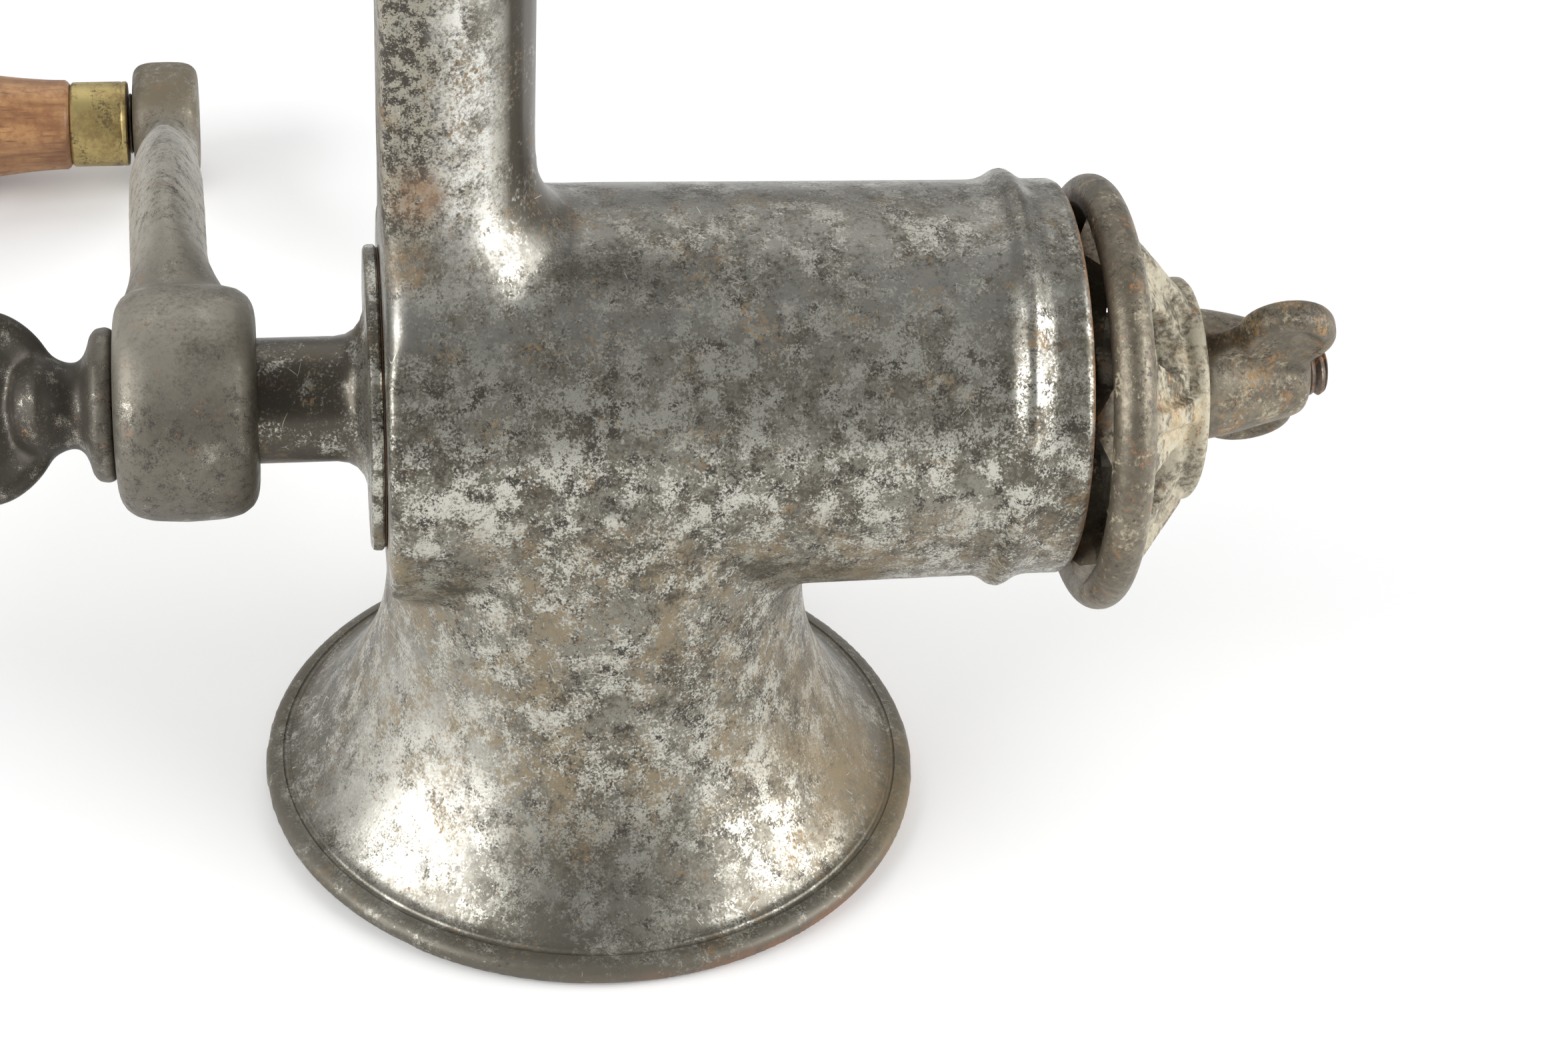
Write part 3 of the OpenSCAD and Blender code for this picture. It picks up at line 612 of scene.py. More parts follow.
# %% [markdown]
# ## The body casting
#
# One casting holds the hopper, the barrel, the clamp leg and both jaws. The hopper and the
# barrel are turned forms, so they are spun from their profiles. The leg is a bar with a
# round front that spreads at its foot, so it is lofted from level sections. Then all is
# melted.

# %% Forms of the body
FLARE_H = 46  # where the hopper starts to widen
BORE_R, THROAT_R = 28.3, 27.7
BAND_R, BAND = 54.8, 2.2  # the rounded band at the mouth, at its middle and in section
BEAD_X = 65.7


def arc_bell(neck, arc, z):
    """Radius of the bell at height z, for an arc that leaves the neck upright."""
    return neck + arc - math.sqrt(arc * arc - (FLARE_H - z) ** 2)


bell = [(z, arc_bell(NECK_R, 58.87, z)) for z in (46, 42, 38, 34, 30, 26, 22, 18, 14, 11, 8, 6.2, 5.0)]
band = [(BAND + BAND * math.sin(a), BAND_R + BAND * math.cos(a))
        for a in [math.radians(d) for d in (70, 45, 20, 0, -20, -45, -70, -90)]]
hopper = turned("hopper", [(BARREL_H, 0), (BARREL_H, NECK_R)] + bell + band + [(0, 0)], (0, 0, 0), UP, 128)
barrel = turned("barrel", [
    (REAR_X, 0), (REAR_X, 33.6), (-20, 33.9), (0, 33.7), (30, 33.2), (62, BARREL_R), (79, BARREL_R),
    (79, 0)], steps=128)
bead_half = [(-4.2, 32.75), (-3.0, 33.0), (-2.0, 33.55), (-1.2, 34.3), (-0.5, 34.75)]
bead = turned("bead", [(-4.2, 30)] + bead_half + [(0, 34.85)] + [(-d, r) for d, r in reversed(bead_half)]
              + [(4.2, 30), (-4.2, 30)], (0, 0, 0), steps=128)
lay(bead, about_x(BARREL_H, math.radians(-37), BEAD_X) @ tilted(2, "Y"))


def rounded_section(x0, x1, half, rear, nose, z, steps=8):
    """Level outline of a bar, with small corners at x0 and large ones at x1.

    Where the large corners' radius, nose, is more than half, they meet in an arch.
    """
    start = math.asin(max(nose - half, 0) / nose)
    side = []
    for x, y, r, low, high in ((x1 - nose * math.cos(start), half - nose, nose, start, math.pi / 2),
                               (x0 + rear, half - rear, rear, math.pi / 2, math.pi)):
        for k in range(steps):
            a = low + (high - low) * k / (steps - 1)
            side.append((x + r * math.cos(a), y + r * math.sin(a), z))
    return side + [(x, -y, z) for x, y, z in reversed(side)]


# Height, and how far the leg's foot spreads there along and across the barrel
foot = [(98, 12, 12), (104, 11, 9.6), (108, 10, 7.4), (111, 8.6, 6.1), (113, 7.2, 5.2), (115, 5.6, 4.3),
        (117, 3.9, 3.5), (119, 2.5, 2.8), (121.5, 1.2, 2.0), (124, 0.5, 1.3), (127, 0.1, 0.7), (131, 0, 0.2),
        (136, 0, 0), (175, 0, 0)]
LEG_X, LEG_HALF = -11, 14
leg = loft("leg", [rounded_section(REAR_X, LEG_X + out, LEG_HALF + side, 1.6, 17.6 + side, z)
                   for z, out, side in foot])
plate = loft("plate", [rounded_section(REAR_X, 25, 19, 4, 8, z) for z in (168, 175)])
spine = loft("spine", [rounded_section(REAR_X, -18.84, 12, 3, 5, z) for z in (174, 238)])
arm = loft("jaw_arm", [rounded_section(REAR_X, 9, 11, 3, 3, z) for z in (224, 238)])
boss = turned("boss", [(222, 0), (222, 10), (223.5, 11.5), (238.5, 11.5), (240, 10), (240, 0)],
              (CLAMP_X, 0, 0), UP, 64)


# %% Melting the body and cutting what was machined
def near_leg(p):
    """Distance from a point to the leg's outline, level."""
    dx = max(REAR_X - p.x, p.x - LEG_X, 0)
    dy = max(abs(p.y) - LEG_HALF, 0)
    return math.hypot(dx, dy)


def body_ease(p):
    """Strong in the leg's foot, weaker where neck and barrel meet, light on the rest."""
    off_barrel = abs(math.hypot(p.y, p.z - BARREL_H) - BARREL_R)
    off_neck = abs(math.hypot(p.x, p.y) - NECK_R)
    weight = 0.03
    if p.z > 95:
        weight = max(weight, fade(math.hypot(near_leg(p), off_barrel), 5, 14))
    elif p.z > 40:
        weight = max(weight, 0.4 * fade(math.hypot(off_neck, off_barrel), 3, 9))
    weight = max(weight, 0.12 * fade(p.x - REAR_X, 1.5, 4), 0.06 * fade(abs(p.x - BEAD_X), 2.5, 5))
    return max(weight, 0.2 * fade(168 - p.z, 0, 6))


body = melt("body_iron", [hopper, barrel, bead, leg, plate, spine, arm, boss], 0.9, 110, body_ease)
lathe = turned("lathe", [(FRONT_X, 0), (FRONT_X, 31.6), (75.9, 32.05), (75.6, 32.4), (75.1, 32.65),
                         (74.4, 32.9), (74.4, 42), (90, 42), (90, 0)])
inside = [(z, arc_bell(THROAT_R, 54.0, z)) for z in (0, 3, 6, 10, 14, 18, 23, 28, 34, 40, 46)]
funnel = turned("funnel", [(-4, 0), (-4, 53.4)] + inside + [(BARREL_H, THROAT_R), (BARREL_H, 0)],
                (0, 0, 0), UP, 128)
bore = turned("bore", [(-31, 0), (-31, BORE_R), (90, BORE_R), (90, 0)], steps=128)
rear_hole = turned("rear_hole", [(-45, 0), (-45, 23), (-28, 23), (-28, 0)], SHAFT_AXIS)
screw_hole = rod("screw_hole", (CLAMP_X, 0, 218), (CLAMP_X, 0, 244), 4.82)
put_down()
bpy.ops.mesh.primitive_torus_add(major_radius=53.2, minor_radius=0.8, major_segments=128, minor_segments=16,
                                 location=(0, 0, 5.1))
groove = lay(bpy.context.object, bpy.context.object.matrix_world.copy())
cut(body, lathe, funnel, bore, rear_hole, screw_hole, groove)


def ring_of(piece, count, height, start=0, shift=0):
    """Copies of a piece at equal steps round an axis along X. The piece itself goes."""
    copies = [copy_of(piece, about_x(height, start + TURN * (k + shift) / count)) for k in range(count)]
    bpy.data.objects.remove(piece)
    return copies


unite(body, *ring_of(block("rib", (32, -3, 23.4), (75.7, 3, 29.5), 0.6), 8, BARREL_H, shift=0.5))
finish_piece(body, tinned, "body", "tinned_iron", "body_casting", angle=50)

# %% [markdown]
# ## The feed screw
#
# A single casting again, but much of it was turned: the shaft, the flange that closes the
# barrel and the journal. Those come from one profile. The worm's thread is a rounded section
# swept by a screw modifier, trimmed by a cylinder to its true diameter.

# %% Shaft, flange and worm
WORM_R, WORM_PITCH = 22.4, 34
shaft = turned("shaft", [
    (-74, 0), (-74, 6), (-56, 6), (-55.6, 10.2), (-43, 10.2), (-41.2, 10.5), (-39.8, 11.3), (-38.8, 12.6),
    (-38.2, 14.4), (-38.0, 16.5), (-38.0, 24.2), (-37.7, 24.75), (-37.2, 24.9), (-36.3, 24.9),
    (-35.95, 24.6), (-35.95, 22.93), (-30.6, 22.93), (-30.6, 8.5), (69, 8.5), (70, 11), (75.9, 11),
    (75.9, 0)], SHAFT_AXIS, steps=96)
square = block("square", (-75.6, -6.8, DRIVE_H - 6.8), (-54.6, 6.8, DRIVE_H + 6.8), 0.5)
nose = block("nose", (70, -5.5, DRIVE_H - 5.5), (94.6, 5.5, DRIVE_H + 5.5), 0.4)
thread = draw("thread", [(0, 0, -7), (-4.6, 0, -8), (-3.4, 0, -20.5), (-2.6, 0, -22.6), (2.6, 0, -22.6),
                         (3.4, 0, -20.5), (4.6, 0, -8), (0, 0, -7)])
tidy_skin()
change(thread, "SCREW", axis="X", angle=TURN, screw_offset=WORM_PITCH, iterations=4, steps=48,
       render_steps=48, use_merge_vertices=True)


def close_ends(piece):
    """Fills the open ends of a swept skin."""
    take(piece)
    bpy.ops.object.mode_set(mode="EDIT")
    bpy.ops.mesh.select_mode(type="EDGE")
    bpy.ops.mesh.select_all(action="DESELECT")
    bpy.ops.mesh.select_non_manifold()
    bpy.ops.mesh.edge_face_add()
    tidy_skin()
    return piece


close_ends(thread)
lay(thread, about_x(DRIVE_H, math.pi, -32 - WORM_PITCH / 2))
crest = rod("crest", (-31, 0, DRIVE_H), (70, 0, DRIVE_H), WORM_R, 96)
cut(thread, crest, how="INTERSECT")
unite(shaft, square, nose, thread)
stud_hole = rod("stud_hole", (52, 0, DRIVE_H), (99, 0, DRIVE_H), 4.12)
tapped = rod("tapped", (-80, 0, DRIVE_H), (-59.3, 0, DRIVE_H), 4.02)
cut(shaft, stud_hole, tapped)
shaft.name = "feed_screw_iron"
finish_piece(shaft, tinned, "drive", "tinned_iron", "feed_screw", angle=35)

# %% [markdown]
# ## Threads
#
# The stud in the nose and the clamp screw are threaded. One tooth of the thread is drawn in
# profile and swept by the screw modifier, once per turn. The result is an open sleeve, so a
# plain chamfered rod is cut to the thread's shape: the sleeve is closed and intersected.


# %% Threaded rods
def threaded(name, start, end, radius, pitch, depth, at, axis, chamfer=0.6, steps=32):
    """A threaded rod along an axis, from start to end, with chamfered ends."""
    inner = radius - depth
    turns = int((end - start) / pitch) + 3
    out = UP if axis == ALONG else ALONG
    tooth = [(0, inner), (0.38, radius - 0.06), (0.5, radius), (0.62, radius - 0.06), (1, inner)]
    sleeve = draw(name, [axis * (d * pitch) + out * r for d, r in tooth])
    tidy_skin()
    change(sleeve, "SCREW", axis="X" if axis == ALONG else "Z", angle=TURN, screw_offset=pitch,
           iterations=turns, steps=steps, render_steps=steps, use_merge_vertices=True)
    take(sleeve)
    bpy.ops.object.mode_set(mode="EDIT")
    bpy.ops.mesh.select_all(action="SELECT")
    bpy.ops.mesh.remove_doubles(threshold=0.01)
    put_down()
    close_ends(sleeve)
    lay(sleeve, Matrix.Translation(Vector(at) + axis * (start - 1.5 * pitch)))
    over, less = radius + 0.1, radius - chamfer
    trim = turned(name + "_trim", [(start, 0), (start, less), (start + chamfer, over), (end - chamfer, over),
                                   (end, less), (end, 0)], at, axis, 48)
    return cut(sleeve, trim, how="INTERSECT")


stud = threaded("stud_steel", 90, 121.9, 4.1, 1.6, 0.5, SHAFT_AXIS, ALONG)
root = turned("stud_root", [(52, 0), (52, 4.0), (91, 4.0), (91, 0)], SHAFT_AXIS)
unite(stud, root)
finish_piece(stud, steel, "drive", "steel", "nose_stud", angle=30)

# %% [markdown]
# ## The thrust washer
#
# A thin fibre ring between the flange and the body. Only its edge shows, as a red-brown line.

# %% Washer
washer = turned("fibre_washer", [(-35.9, 23.1), (-35.9, 24.3), (-35.85, 24.4), (-35.65, 24.4), (-35.6, 24.3),
                                 (-35.6, 23.1), (-35.9, 23.1)], SHAFT_AXIS)
finish_piece(washer, fibre, "drive", "fibre", "thrust_washer")

# %% [markdown]
# ## The cutter
#
# A round rim, a hub disc and a cone between them, with openings that the chopped food leaves
# by. Six blades sweep over the end of the barrel. The cone is spun and pierced, and the forms
# are melted; the blades are ground sharp, so they are added after the melting.

# %% Rim, cone, hub and blades
RIM_X, RIM_H = 82.5, 77.6
BLADES = 6
CUTTER_TURN = math.pi + math.radians(5)


def oblongs(rows):
    """Level sections of a web, from x0 to x1 and w to both sides, at height z."""
    return [[(x, y, z) for x, y in ((x0, -w), (x0, w), (x1, w), (x1, -w))] for z, x0, x1, w in rows]


put_down()
bpy.ops.mesh.primitive_torus_add(major_radius=33, minor_radius=3.5, major_segments=96, minor_segments=24)
rim = lay(bpy.context.object, Matrix.Translation((RIM_X, 0, RIM_H)) @ tilted(90, "Y"))
cone = turned("cone", [(80.2, 29.6), (83.2, 33.5), (96.4, 15.8), (94.5, 11.4), (80.2, 29.6)], (0, 0, RIM_H))
window = block("window", (74, -4.8, 19), (104, 4.8, 27.4), 2.2, 4)
cut(cone, *ring_of(window, BLADES, RIM_H, CUTTER_TURN, 0.5))
ridge = loft("ridge", oblongs([(12, 90, 96.4, 3.2), (20, 88, 95.6, 2.0), (30, 80.5, 87.8, 1.8),
                               (33, 80, 84.5, 2.6)]))
ridges = ring_of(ridge, BLADES, RIM_H, CUTTER_TURN)
hub = turned("hub", [(80.8, 0), (80.8, 13), (94.6, 13), (95.2, 17.9), (95.9, 18.7), (97.8, 18.7),
                     (98.6, 17.8), (98.6, 0)], (0, 0, RIM_H + 0.3))


def blade_ring(x, half, length):
    """Section of a blade at depth x: narrow in the middle, wide where it meets the rim."""
    root, waist = 1.0 + half * 0.35, 0.8 + half * 0.2
    side = [(x, root, 8), (x, waist, 20), (x, half, length)]
    return [(x, -y, z) for x, y, z in side] + side[::-1]


blade = loft("blade", [blade_ring(76.35, 0.7, 29.5), blade_ring(77.2, 2.2, 31.0),
                       blade_ring(79.2, 6.4, 32.0), blade_ring(82.2, 9.4, 33)])


def cutter_ease(p):
    """Stronger on the cone and its ridges than on rim and hub."""
    radius = math.hypot(p.y, p.z - RIM_H)
    return 0.35 if 12 < radius < 30.5 else 0.12


cutter = melt("cutter_iron", [rim, cone, hub] + ridges, 0.6, 24, cutter_ease)
unite(cutter, *ring_of(blade, BLADES, RIM_H, CUTTER_TURN))
socket = block("socket", (74, -7.77, CUTTER_H - 7.77), (95, 7.77, CUTTER_H + 7.77))
stud_way = rod("stud_way", (74, 0, CUTTER_H), (104, 0, CUTTER_H), 6.6)
cut(cutter, socket, stud_way)
finish_piece(cutter, dirty, "drive", "dark_iron", "cutter", angle=35)

# %% [markdown]
# ## Wings
#
# The cutter's nut, the crank's screw and the clamp's screw all have cast wings: an oval with
# a raised round rim and a dished face. The wing is modelled once as a turned disc, and each
# copy is stretched and turned to its place.


# %% A dished oval
def dished_disc(name, radius, rim_half, web_half, rim_width):
    """A disc about Z with a round raised rim on both faces."""
    side = [(web_half, 0), (web_half, radius - rim_width * 1.5),
            (web_half + (rim_half - web_half) * 0.5, radius - rim_width),
            (rim_half, radius - rim_width * 0.6), (rim_half * 0.8, radius - rim_width * 0.2),
            (rim_half * 0.4, radius)]
    return turned(name, side + [(-h, r) for h, r in reversed(side)], (0, 0, 0), UP, 64)


# %% [markdown]
# ## The cutter's wing nut

# %% Wing nut
nut = turned("nut", [(98.62, 0), (98.62, 10.8), (99.3, 11.2), (102, 10.9), (106, 10.1), (111, 8.8),
                     (116.2, 7.5), (117.8, 6.8), (118.5, 5.6), (118.5, 0)], SHAFT_AXIS, steps=64)
forms = [nut]
for k in (0, 1):
    turn = about_x(DRIVE_H, math.pi + math.radians(31) + math.pi * k)
    lobe = dished_disc("lobe", 8.6, 2.9, 1.3, 3.2)
    forms.append(lay(lobe, turn @ Matrix.Translation((112.0, 0, 15.6)) @ tilted(-14, "Y") @ tilted(90, "X")
                     @ Matrix.Diagonal((0.94, 1.0, 1.0, 1))))
    web = loft("web", oblongs([(6, 98.9, 117, 3.4), (10, 99.0, 117.4, 2.8), (12.5, 100.6, 118, 2.2),
                               (16, 104.2, 118, 1.6)]))
    forms.append(lay(web, turn))


def nut_ease(p):
    """Full where the wings grow out of the nut."""
    radius = math.hypot(p.y, p.z - DRIVE_H)
    return 1.0 if 8.5 < radius < 15 and p.x < 116.4 else 0.3


wing_nut = melt("wing_nut_iron", forms, 0.5, 30, nut_ease)
cut(wing_nut, rod("nut_hole", (95, 0, DRIVE_H), (125, 0, DRIVE_H), 4.17))
finish_piece(wing_nut, dirty, "wing_nut", "dark_iron", "cutter_wing_nut", angle=45)

# %% [markdown]
# ## The crank
#
# Hub, S-shaped arm and handle boss are one casting. The arm is lofted along its middle line
# in the crank's own flat frame. Near the hub its sections widen into shoulders. The melted
# crank is then leaned down to the floor.


# %% Crank arm
CRANK_PLACE = about_x(DRIVE_H, -math.asin((DRIVE_H - HANDLE_H) / THROW))
ARM_RINGS = 40


def arm_middle(t):
    """Middle line of the arm, as (along the throw, across it)."""
    a, b, c, d = ((0, 0), (0.33, 0.266), (0.637, -0.10), (1, 0))
    s = 1 - t
    return Vector([THROW * (a[i] * s ** 3 + 3 * b[i] * t * s * s + 3 * c[i] * t * t * s + d[i] * t ** 3)
                   for i in (0, 1)])


def arm_ring(t, count=24):
    """Section of the arm: broad and flat on one side, narrower on the other."""
    middle, ahead = arm_middle(t), (arm_middle(t + 0.001) - arm_middle(t)).normalized()
    side = Vector((-ahead.y, ahead.x))
    reach = middle.length
    shoulder = fade(reach, 14, 36)
    half_x = 6.5 + 4.6 * shoulder * shoulder
    half_side = 11.5 - 4.5 * t
    centre_x = -68.9 - 6.5 * t + 1.2 * shoulder
    ring = []
    for k in range(count):
        a = TURN * k / count
        c, s = math.cos(a), math.sin(a)
        c = math.copysign(abs(c) ** (0.74 if s < 0 else 1.0), c)
        s = math.copysign(abs(s) ** 0.92, s)
        across = middle + side * half_side * s
        narrow = 1 - 0.26 * max(s, 0)
        ring.append((centre_x + half_x * c * narrow, across.x, across.y))
    return ring


s_arm = loft("s_arm", [arm_ring(k / ARM_RINGS) for k in range(1, ARM_RINGS + 1)])
crank_hub = turned("crank_hub", [
    (-78.2, 0), (-78.2, 13.6), (-77.9, 15.4), (-76.9, 17.1), (-75.2, 18.3), (-72.6, 19.0), (-67, 19.3),
    (-61.2, 19.0), (-58.4, 18.3), (-56.5, 16.9), (-55.7, 15.0), (-55.5, 13.0), (-55.5, 0)], (0, 0, 0))
handle_boss = turned("handle_boss", [
    (-82.3, 0), (-82.3, 10.0), (-81.9, 11.4), (-80.8, 12.4), (-79.0, 12.9), (-75.4, 13.0), (-71.8, 12.9),
    (-70.0, 12.4), (-68.9, 11.4), (-68.5, 10.0), (-68.5, 0)], (0, THROW, 0))


def crank_ease(p):
    """Full where the arm leaves the hub, half where it meets the boss."""
    at_hub = fade(abs(math.hypot(p.y, p.z) - 19), 4, 10) if p.y > 6 else 0
    at_boss = fade(abs(math.hypot(p.y - THROW, p.z) - 12.8), 2, 6) if p.y < THROW else 0
    return max(0.06, at_hub, 0.5 * at_boss)


crank = melt("crank_iron", [s_arm, crank_hub, handle_boss], 0.8, 60, crank_ease)
lay(crank, CRANK_PLACE)
handle_axis = CRANK_PLACE @ Vector((0, THROW, 0))
square_hole = block("square_hole", (-85, -6.82, DRIVE_H - 6.82), (-50, 6.82, DRIVE_H + 6.82))
rivet_hole = rod("rivet_hole", (-90, *handle_axis.yz), (-60, *handle_axis.yz), 3.22)
sink = turned("sink", [(-70.3, 0), (-70.3, 3.22), (-68.5, 5.02), (-68.4, 5.02), (-68.4, 0)],
              handle_axis, steps=48)
cut(crank, square_hole, rivet_hole, sink)
finish_piece(crank, bare, "drive", "bare_iron", "crank_arm", angle=50)

# %% [markdown]
# ## The crank's thumb screw

# %% Thumb screw
screw = turned("screw", [
    (-60.2, 0), (-60.2, 3.5), (-60.8, 3.98), (-78.1, 3.98), (-78.22, 11.6), (-78.6, 12.3), (-79.6, 12.6),
    (-81.2, 12.3), (-82.0, 11.2), (-82.5, 9.4), (-83.2, 7.8), (-84.2, 6.9), (-85.4, 6.8), (-87.6, 7.8),
    (-90.4, 9.0), (-94, 6.5), (-96, 0)], SHAFT_AXIS, steps=64)
OVAL_R = 15.8
oval = dished_disc("oval", OVAL_R, 3.1, 1.9, 3.8)
lay(oval, about_x(DRIVE_H, math.radians(-37), -99.4) @ tilted(90, "X")
    @ Matrix.Diagonal((13 / OVAL_R, 1.0, 1.0, 1)))


def screw_ease(p):
    """Full in the neck between the collar and the oval."""
    return 0.9 * fade(abs(p.x + 89), 3, 7) + 0.08


thumb_screw = melt("thumb_screw_iron", [screw, oval], 0.5, 40, screw_ease)
finish_piece(thumb_screw, bare, "thumb_screw", "bare_iron", "crank_thumb_screw", angle=45)

# %% [markdown]
# ## The handle
#
# A rivet goes through the boss and the grip. The grip is turned wood: a stub under the brass
# ferrule, then a swelling towards a round end. All of it is turned work, so each piece is one
# spun profile about the handle's axis.

# %% Rivet, washers, ferrule and grip
GRIP_X, GRIP_L = -83.4, 92.0
WIDEST = 0.62  # where along the wood the grip is widest
spindle = turned("rivet_steel", [
    (-175.0, 0), (-175.0, 2.6), (-174.7, 3.9), (-174.1, 4.8), (-173.7, 5.0), (-173.4, 4.8), (-173.4, 3.2),
    (-70.3, 3.2), (-68.5, 5.0), (-68.45, 3.0), (-68.4, 0)], handle_axis, steps=48)
finish_piece(spindle, steel, "drive", "steel", "handle_spindle", angle=35)
near_washer = turned("near_washer", [(-83.15, 3.27), (-83.15, 6.1), (-83.0, 6.4), (-82.7, 6.4), (-82.55, 6.1),
                                     (-82.55, 3.27), (-83.15, 3.27)], handle_axis, steps=48)
finish_piece(near_washer, steel, "drive", "steel", "handle_washer")
end_washer = turned("end_washer", [(-173.4, 3.27), (-173.4, 5.9), (-173.2, 6.2), (-172.4, 6.2), (-172.2, 5.9),
                                   (-172.2, 3.27), (-173.4, 3.27)], handle_axis, steps=48)
finish_piece(end_washer, steel, "drive", "steel", "handle_end_washer")
ferrule = turned("ferrule_brass", [(GRIP_X - d, r) for d, r in (
    (0, 8.32), (0, 8.7), (0.3, 9.0), (0.9, 9.0), (1.2, 8.88), (1.5, 9.0), (10.9, 9.0), (11.5, 8.95),
    (11.9, 8.6), (11.9, 8.32), (0, 8.32))], handle_axis, steps=64)
finish_piece(ferrule, brass, "grip", "brass", "handle_ferrule", angle=35)


def grip_radius(t):
    """Swells to the widest place, then closes to a round end."""
    swell = math.sin(min(t / WIDEST, 1) * math.pi / 2) ** 1.7
    fall = 0 if t < WIDEST else 1 - math.sqrt(max(0, 1 - ((t - WIDEST) / 0.40) ** 3))
    return 9.5 + 4.9 * swell - fall * 5.0


side = [(13.1 + (GRIP_L - 13.1) * k / 40, grip_radius(k / 40)) for k in range(1, 41)]
grip = turned("grip_wood", [(GRIP_X - d, r) for d, r in (
    [(0, 3.27), (0, 8.28), (12.0, 8.28), (12.2, 8.7), (12.6, 9.2), (13.1, 9.5)] + side
    + [(GRIP_L, 7.2), (88.4, 7.2), (88.4, 3.27), (0, 3.27)])], handle_axis, steps=72)
finish_piece(grip, wood, "grip", "wood", "handle_grip", angle=35)

# %% [markdown]
# ## The table clamp
#
# A threaded rod, a winged head pinned on it and a swivel pad at its end.

# %% Clamp screw, pad and thumb piece
PIN_H, PIN_HOLE_R = 262, 1.52
CLAMP_AXIS = (CLAMP_X, 0, 0)
clamp_rod = threaded("clamp_rod_steel", 196, 268, 4.75, 2.0, 0.9, CLAMP_AXIS, UP)
tip = turned("tip", [(190.8, 0), (190.8, 3.4), (191.2, 4.1), (191.6, 4.1), (191.6, 2.87), (193.5, 2.87),
                     (193.5, 4.6), (197, 4.6), (197, 0)], CLAMP_AXIS, UP, 48)
unite(clamp_rod, tip)
cut(clamp_rod, rod("pin_way", (CLAMP_X, -9, PIN_H), (CLAMP_X, 9, PIN_H), PIN_HOLE_R))
finish_piece(clamp_rod, steel, "screw", "steel", "clamp_screw", angle=30)
pad = turned("pad_iron", [(190, 4.95), (190, 13.0), (190.4, 13.7), (191.2, 14), (192.2, 14), (192.9, 13.5),
                          (193.2, 12.6), (193.2, 2.95), (191.9, 2.95), (191.9, 4.95), (190, 4.95)],
             CLAMP_AXIS, UP, 64)
finish_piece(pad, dirty, "pad", "dark_iron", "clamp_pad", angle=35)
head = turned("head", [(255, 0), (255, 7), (256, 8), (269.5, 8), (271, 6.4), (271, 0)],
              CLAMP_AXIS, UP, 64)
forms = [head]
for k in (0, 1):
    lobe = dished_disc("lobe", 8.2, 2.6, 1.5, 3.0)
    turn = Matrix.Translation((CLAMP_X, 0, 255)) @ Matrix.Rotation(math.pi * k, 4, "Z")
    forms.append(lay(lobe, turn @ Matrix.Translation((17, 0, 12)) @ tilted(90, "X")))
    web = loft("web", [[(x, y, z) for y, z in ((-1.8, z0), (1.8, z0), (1.8, z1), (-1.8, z1))]
                       for x, z0, z1 in ((5, 2.6, 13.4), (10, 3.8, 15.5), (14, 6, 17.5))])
    forms.append(lay(web, turn))


def head_ease(p):
    """Strong where the wings meet the head."""
    return 0.8 if 7 < math.hypot(p.x - CLAMP_X, p.y) < 12 else 0.3


thumb_piece = melt("clamp_wings_iron", forms, 0.5, 30, head_ease)
cut(thumb_piece, rod("rod_way", (CLAMP_X, 0, 250), (CLAMP_X, 0, 268), 4.77),
    rod("pin_way", (CLAMP_X, -12, PIN_H), (CLAMP_X, 12, PIN_H), PIN_HOLE_R))
finish_piece(thumb_piece, dirty, "screw", "dark_iron", "clamp_thumb_piece", angle=45)
pin = turned("pin_steel", [(-7.7, 0), (-7.7, 1.1), (-7.4, 1.5), (7.4, 1.5), (7.7, 1.1), (7.7, 0)],
             (0, 0, 0), UP, 32)
lay(pin, Matrix.Translation((CLAMP_X, 0, PIN_H)) @ tilted(90, "X"))
finish_piece(pin, steel, "screw", "steel", "clamp_thumb_pin")

# %% [markdown]
# ## Stage, lamps and camera
#
# The grinder stands on a white sweep in soft light from both sides and from behind. The floor
# glows a little for the camera and in reflections only, so it is white there without lighting
# the iron, and far from the grinder it fades to plain white.

# %% Floor
put_down()
bpy.ops.mesh.primitive_plane_add(size=12)
floor = bpy.context.object
floor.name = "floor"
white, tree, shader = new_finish("white_sweep")
shader.inputs["Base Color"].default_value = (0.9, 0.9, 0.9, 1)
shader.inputs["Roughness"].default_value = 0.9
shader.inputs["Specular IOR Level"].default_value = 0.0
path = node(tree, "ShaderNodeLightPath")
seen = reckon(tree, "MAXIMUM", path.outputs["Is Camera Ray"], path.outputs["Is Glossy Ray"])
shader.inputs["Emission Color"].default_value = (1, 1, 1, 1)
tree.links.new(reckon(tree, "MULTIPLY", seen, 0.04), shader.inputs["Emission Strength"])
spread = node(tree, VECTORS, {"operation": "LENGTH"}, i0=millimetres(tree, 1.0, (0, 0, 0)))
far = ramp(tree, spread.outputs["Value"], 450.0, 1100.0, "SMOOTHSTEP")
sky = node(tree, "ShaderNodeEmission", Strength=1.0)
join = node(tree, "ShaderNodeMixShader", i0=reckon(tree, "MULTIPLY", seen, far), i1=shader.outputs[0],
            i2=sky.outputs[0])
tree.links.new(join.outputs[0], tree.nodes["Material Output"].inputs["Surface"])
floor.data.materials.append(white)

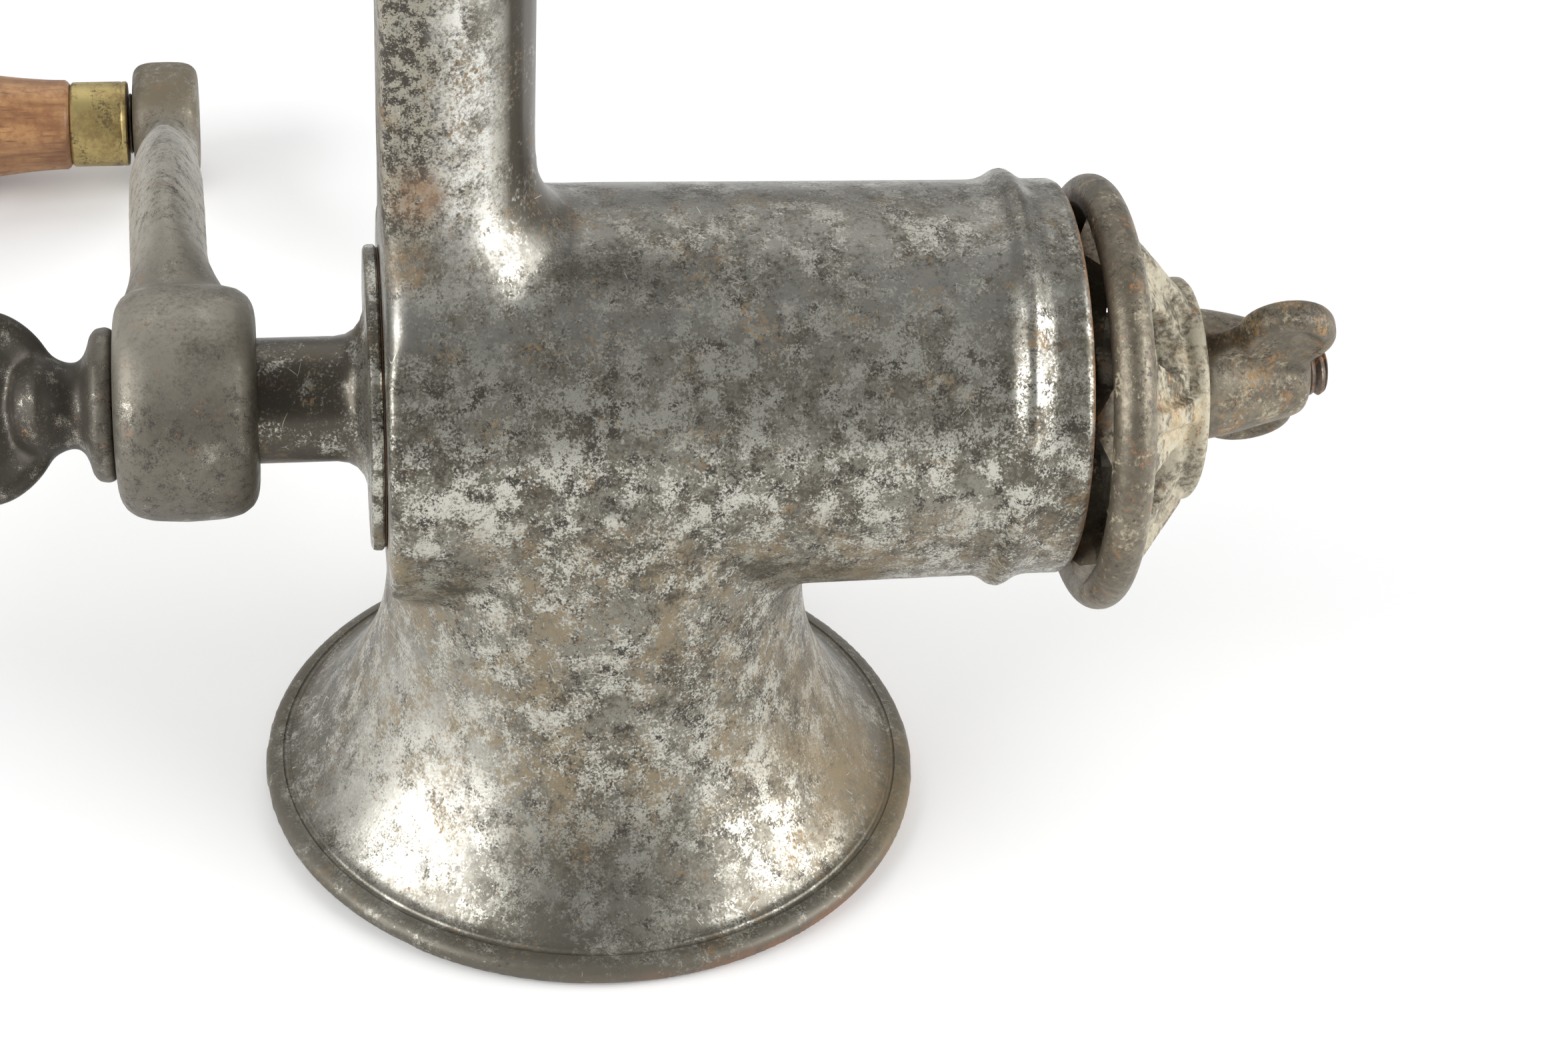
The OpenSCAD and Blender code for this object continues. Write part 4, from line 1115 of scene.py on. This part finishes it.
# %% World and lamps
TO_CAMERA = (-0.1287, -0.7876, 0.6026)  # the room is darker on the camera's side
world = bpy.data.worlds.new("studio")
bpy.context.scene.world = world
world.use_nodes = True
tree = world.node_tree
path = node(tree, "ShaderNodeLightPath")
where = node(tree, "ShaderNodeTexCoord").outputs["Generated"]
facing = node(tree, VECTORS, {"operation": "DOT_PRODUCT"}, i0=where, i1=TO_CAMERA)
room = ramp(tree, facing.outputs["Value"], 0.4, 1.0, "SMOOTHSTEP", To_Min=0.55, To_Max=0.26)
strength = mix(tree, "FLOAT", path.outputs["Is Camera Ray"], room, 1.0)
tree.links.new(strength, tree.nodes["Background"].inputs["Strength"])
tree.nodes["Background"].inputs["Color"].default_value = (1, 1, 1, 1)


def softbox(name, place, size, watts, aim=(0, 0, 0.08)):
    """A square lamp that looks at the grinder."""
    put_down()
    bpy.ops.object.light_add(type="AREA", location=place)
    lamp = bpy.context.object
    lamp.name = name
    lamp.data.shape = "SQUARE"
    lamp.data.size = size
    lamp.data.energy = watts
    lamp.rotation_euler = (Vector(aim) - Vector(place)).to_track_quat("-Z", "Y").to_euler()


softbox("left_box", (-1.15, -0.45, 0.55), 0.95, 19)
softbox("right_box", (1.15, -0.45, 0.55), 0.95, 19)
softbox("back_box", (0.0, 1.2, 1.4), 1.4, 6)

# %% Camera
# Its own axes and its place, in metres
look = Vector((0.12871963, 0.78763077, -0.60255209))
right = Vector((0.99113658, -0.1223091, 0.05185332))
top = Vector((0.03285633, 0.60388596, 0.79639325))
eye = Vector((-0.048162, -0.490361, 0.427345))
put_down()
bpy.ops.object.camera_add()
camera = bpy.context.object
camera.matrix_world = Matrix((
    (right.x, top.x, -look.x, eye.x), (right.y, top.y, -look.y, eye.y), (right.z, top.z, -look.z, eye.z),
    (0, 0, 0, 1)))
camera.data.lens = 84.18
camera.data.sensor_width = 36
camera.data.clip_start, camera.data.clip_end = 0.01, 50
scene = bpy.context.scene
scene.camera = camera
scene.view_settings.view_transform = "Standard"
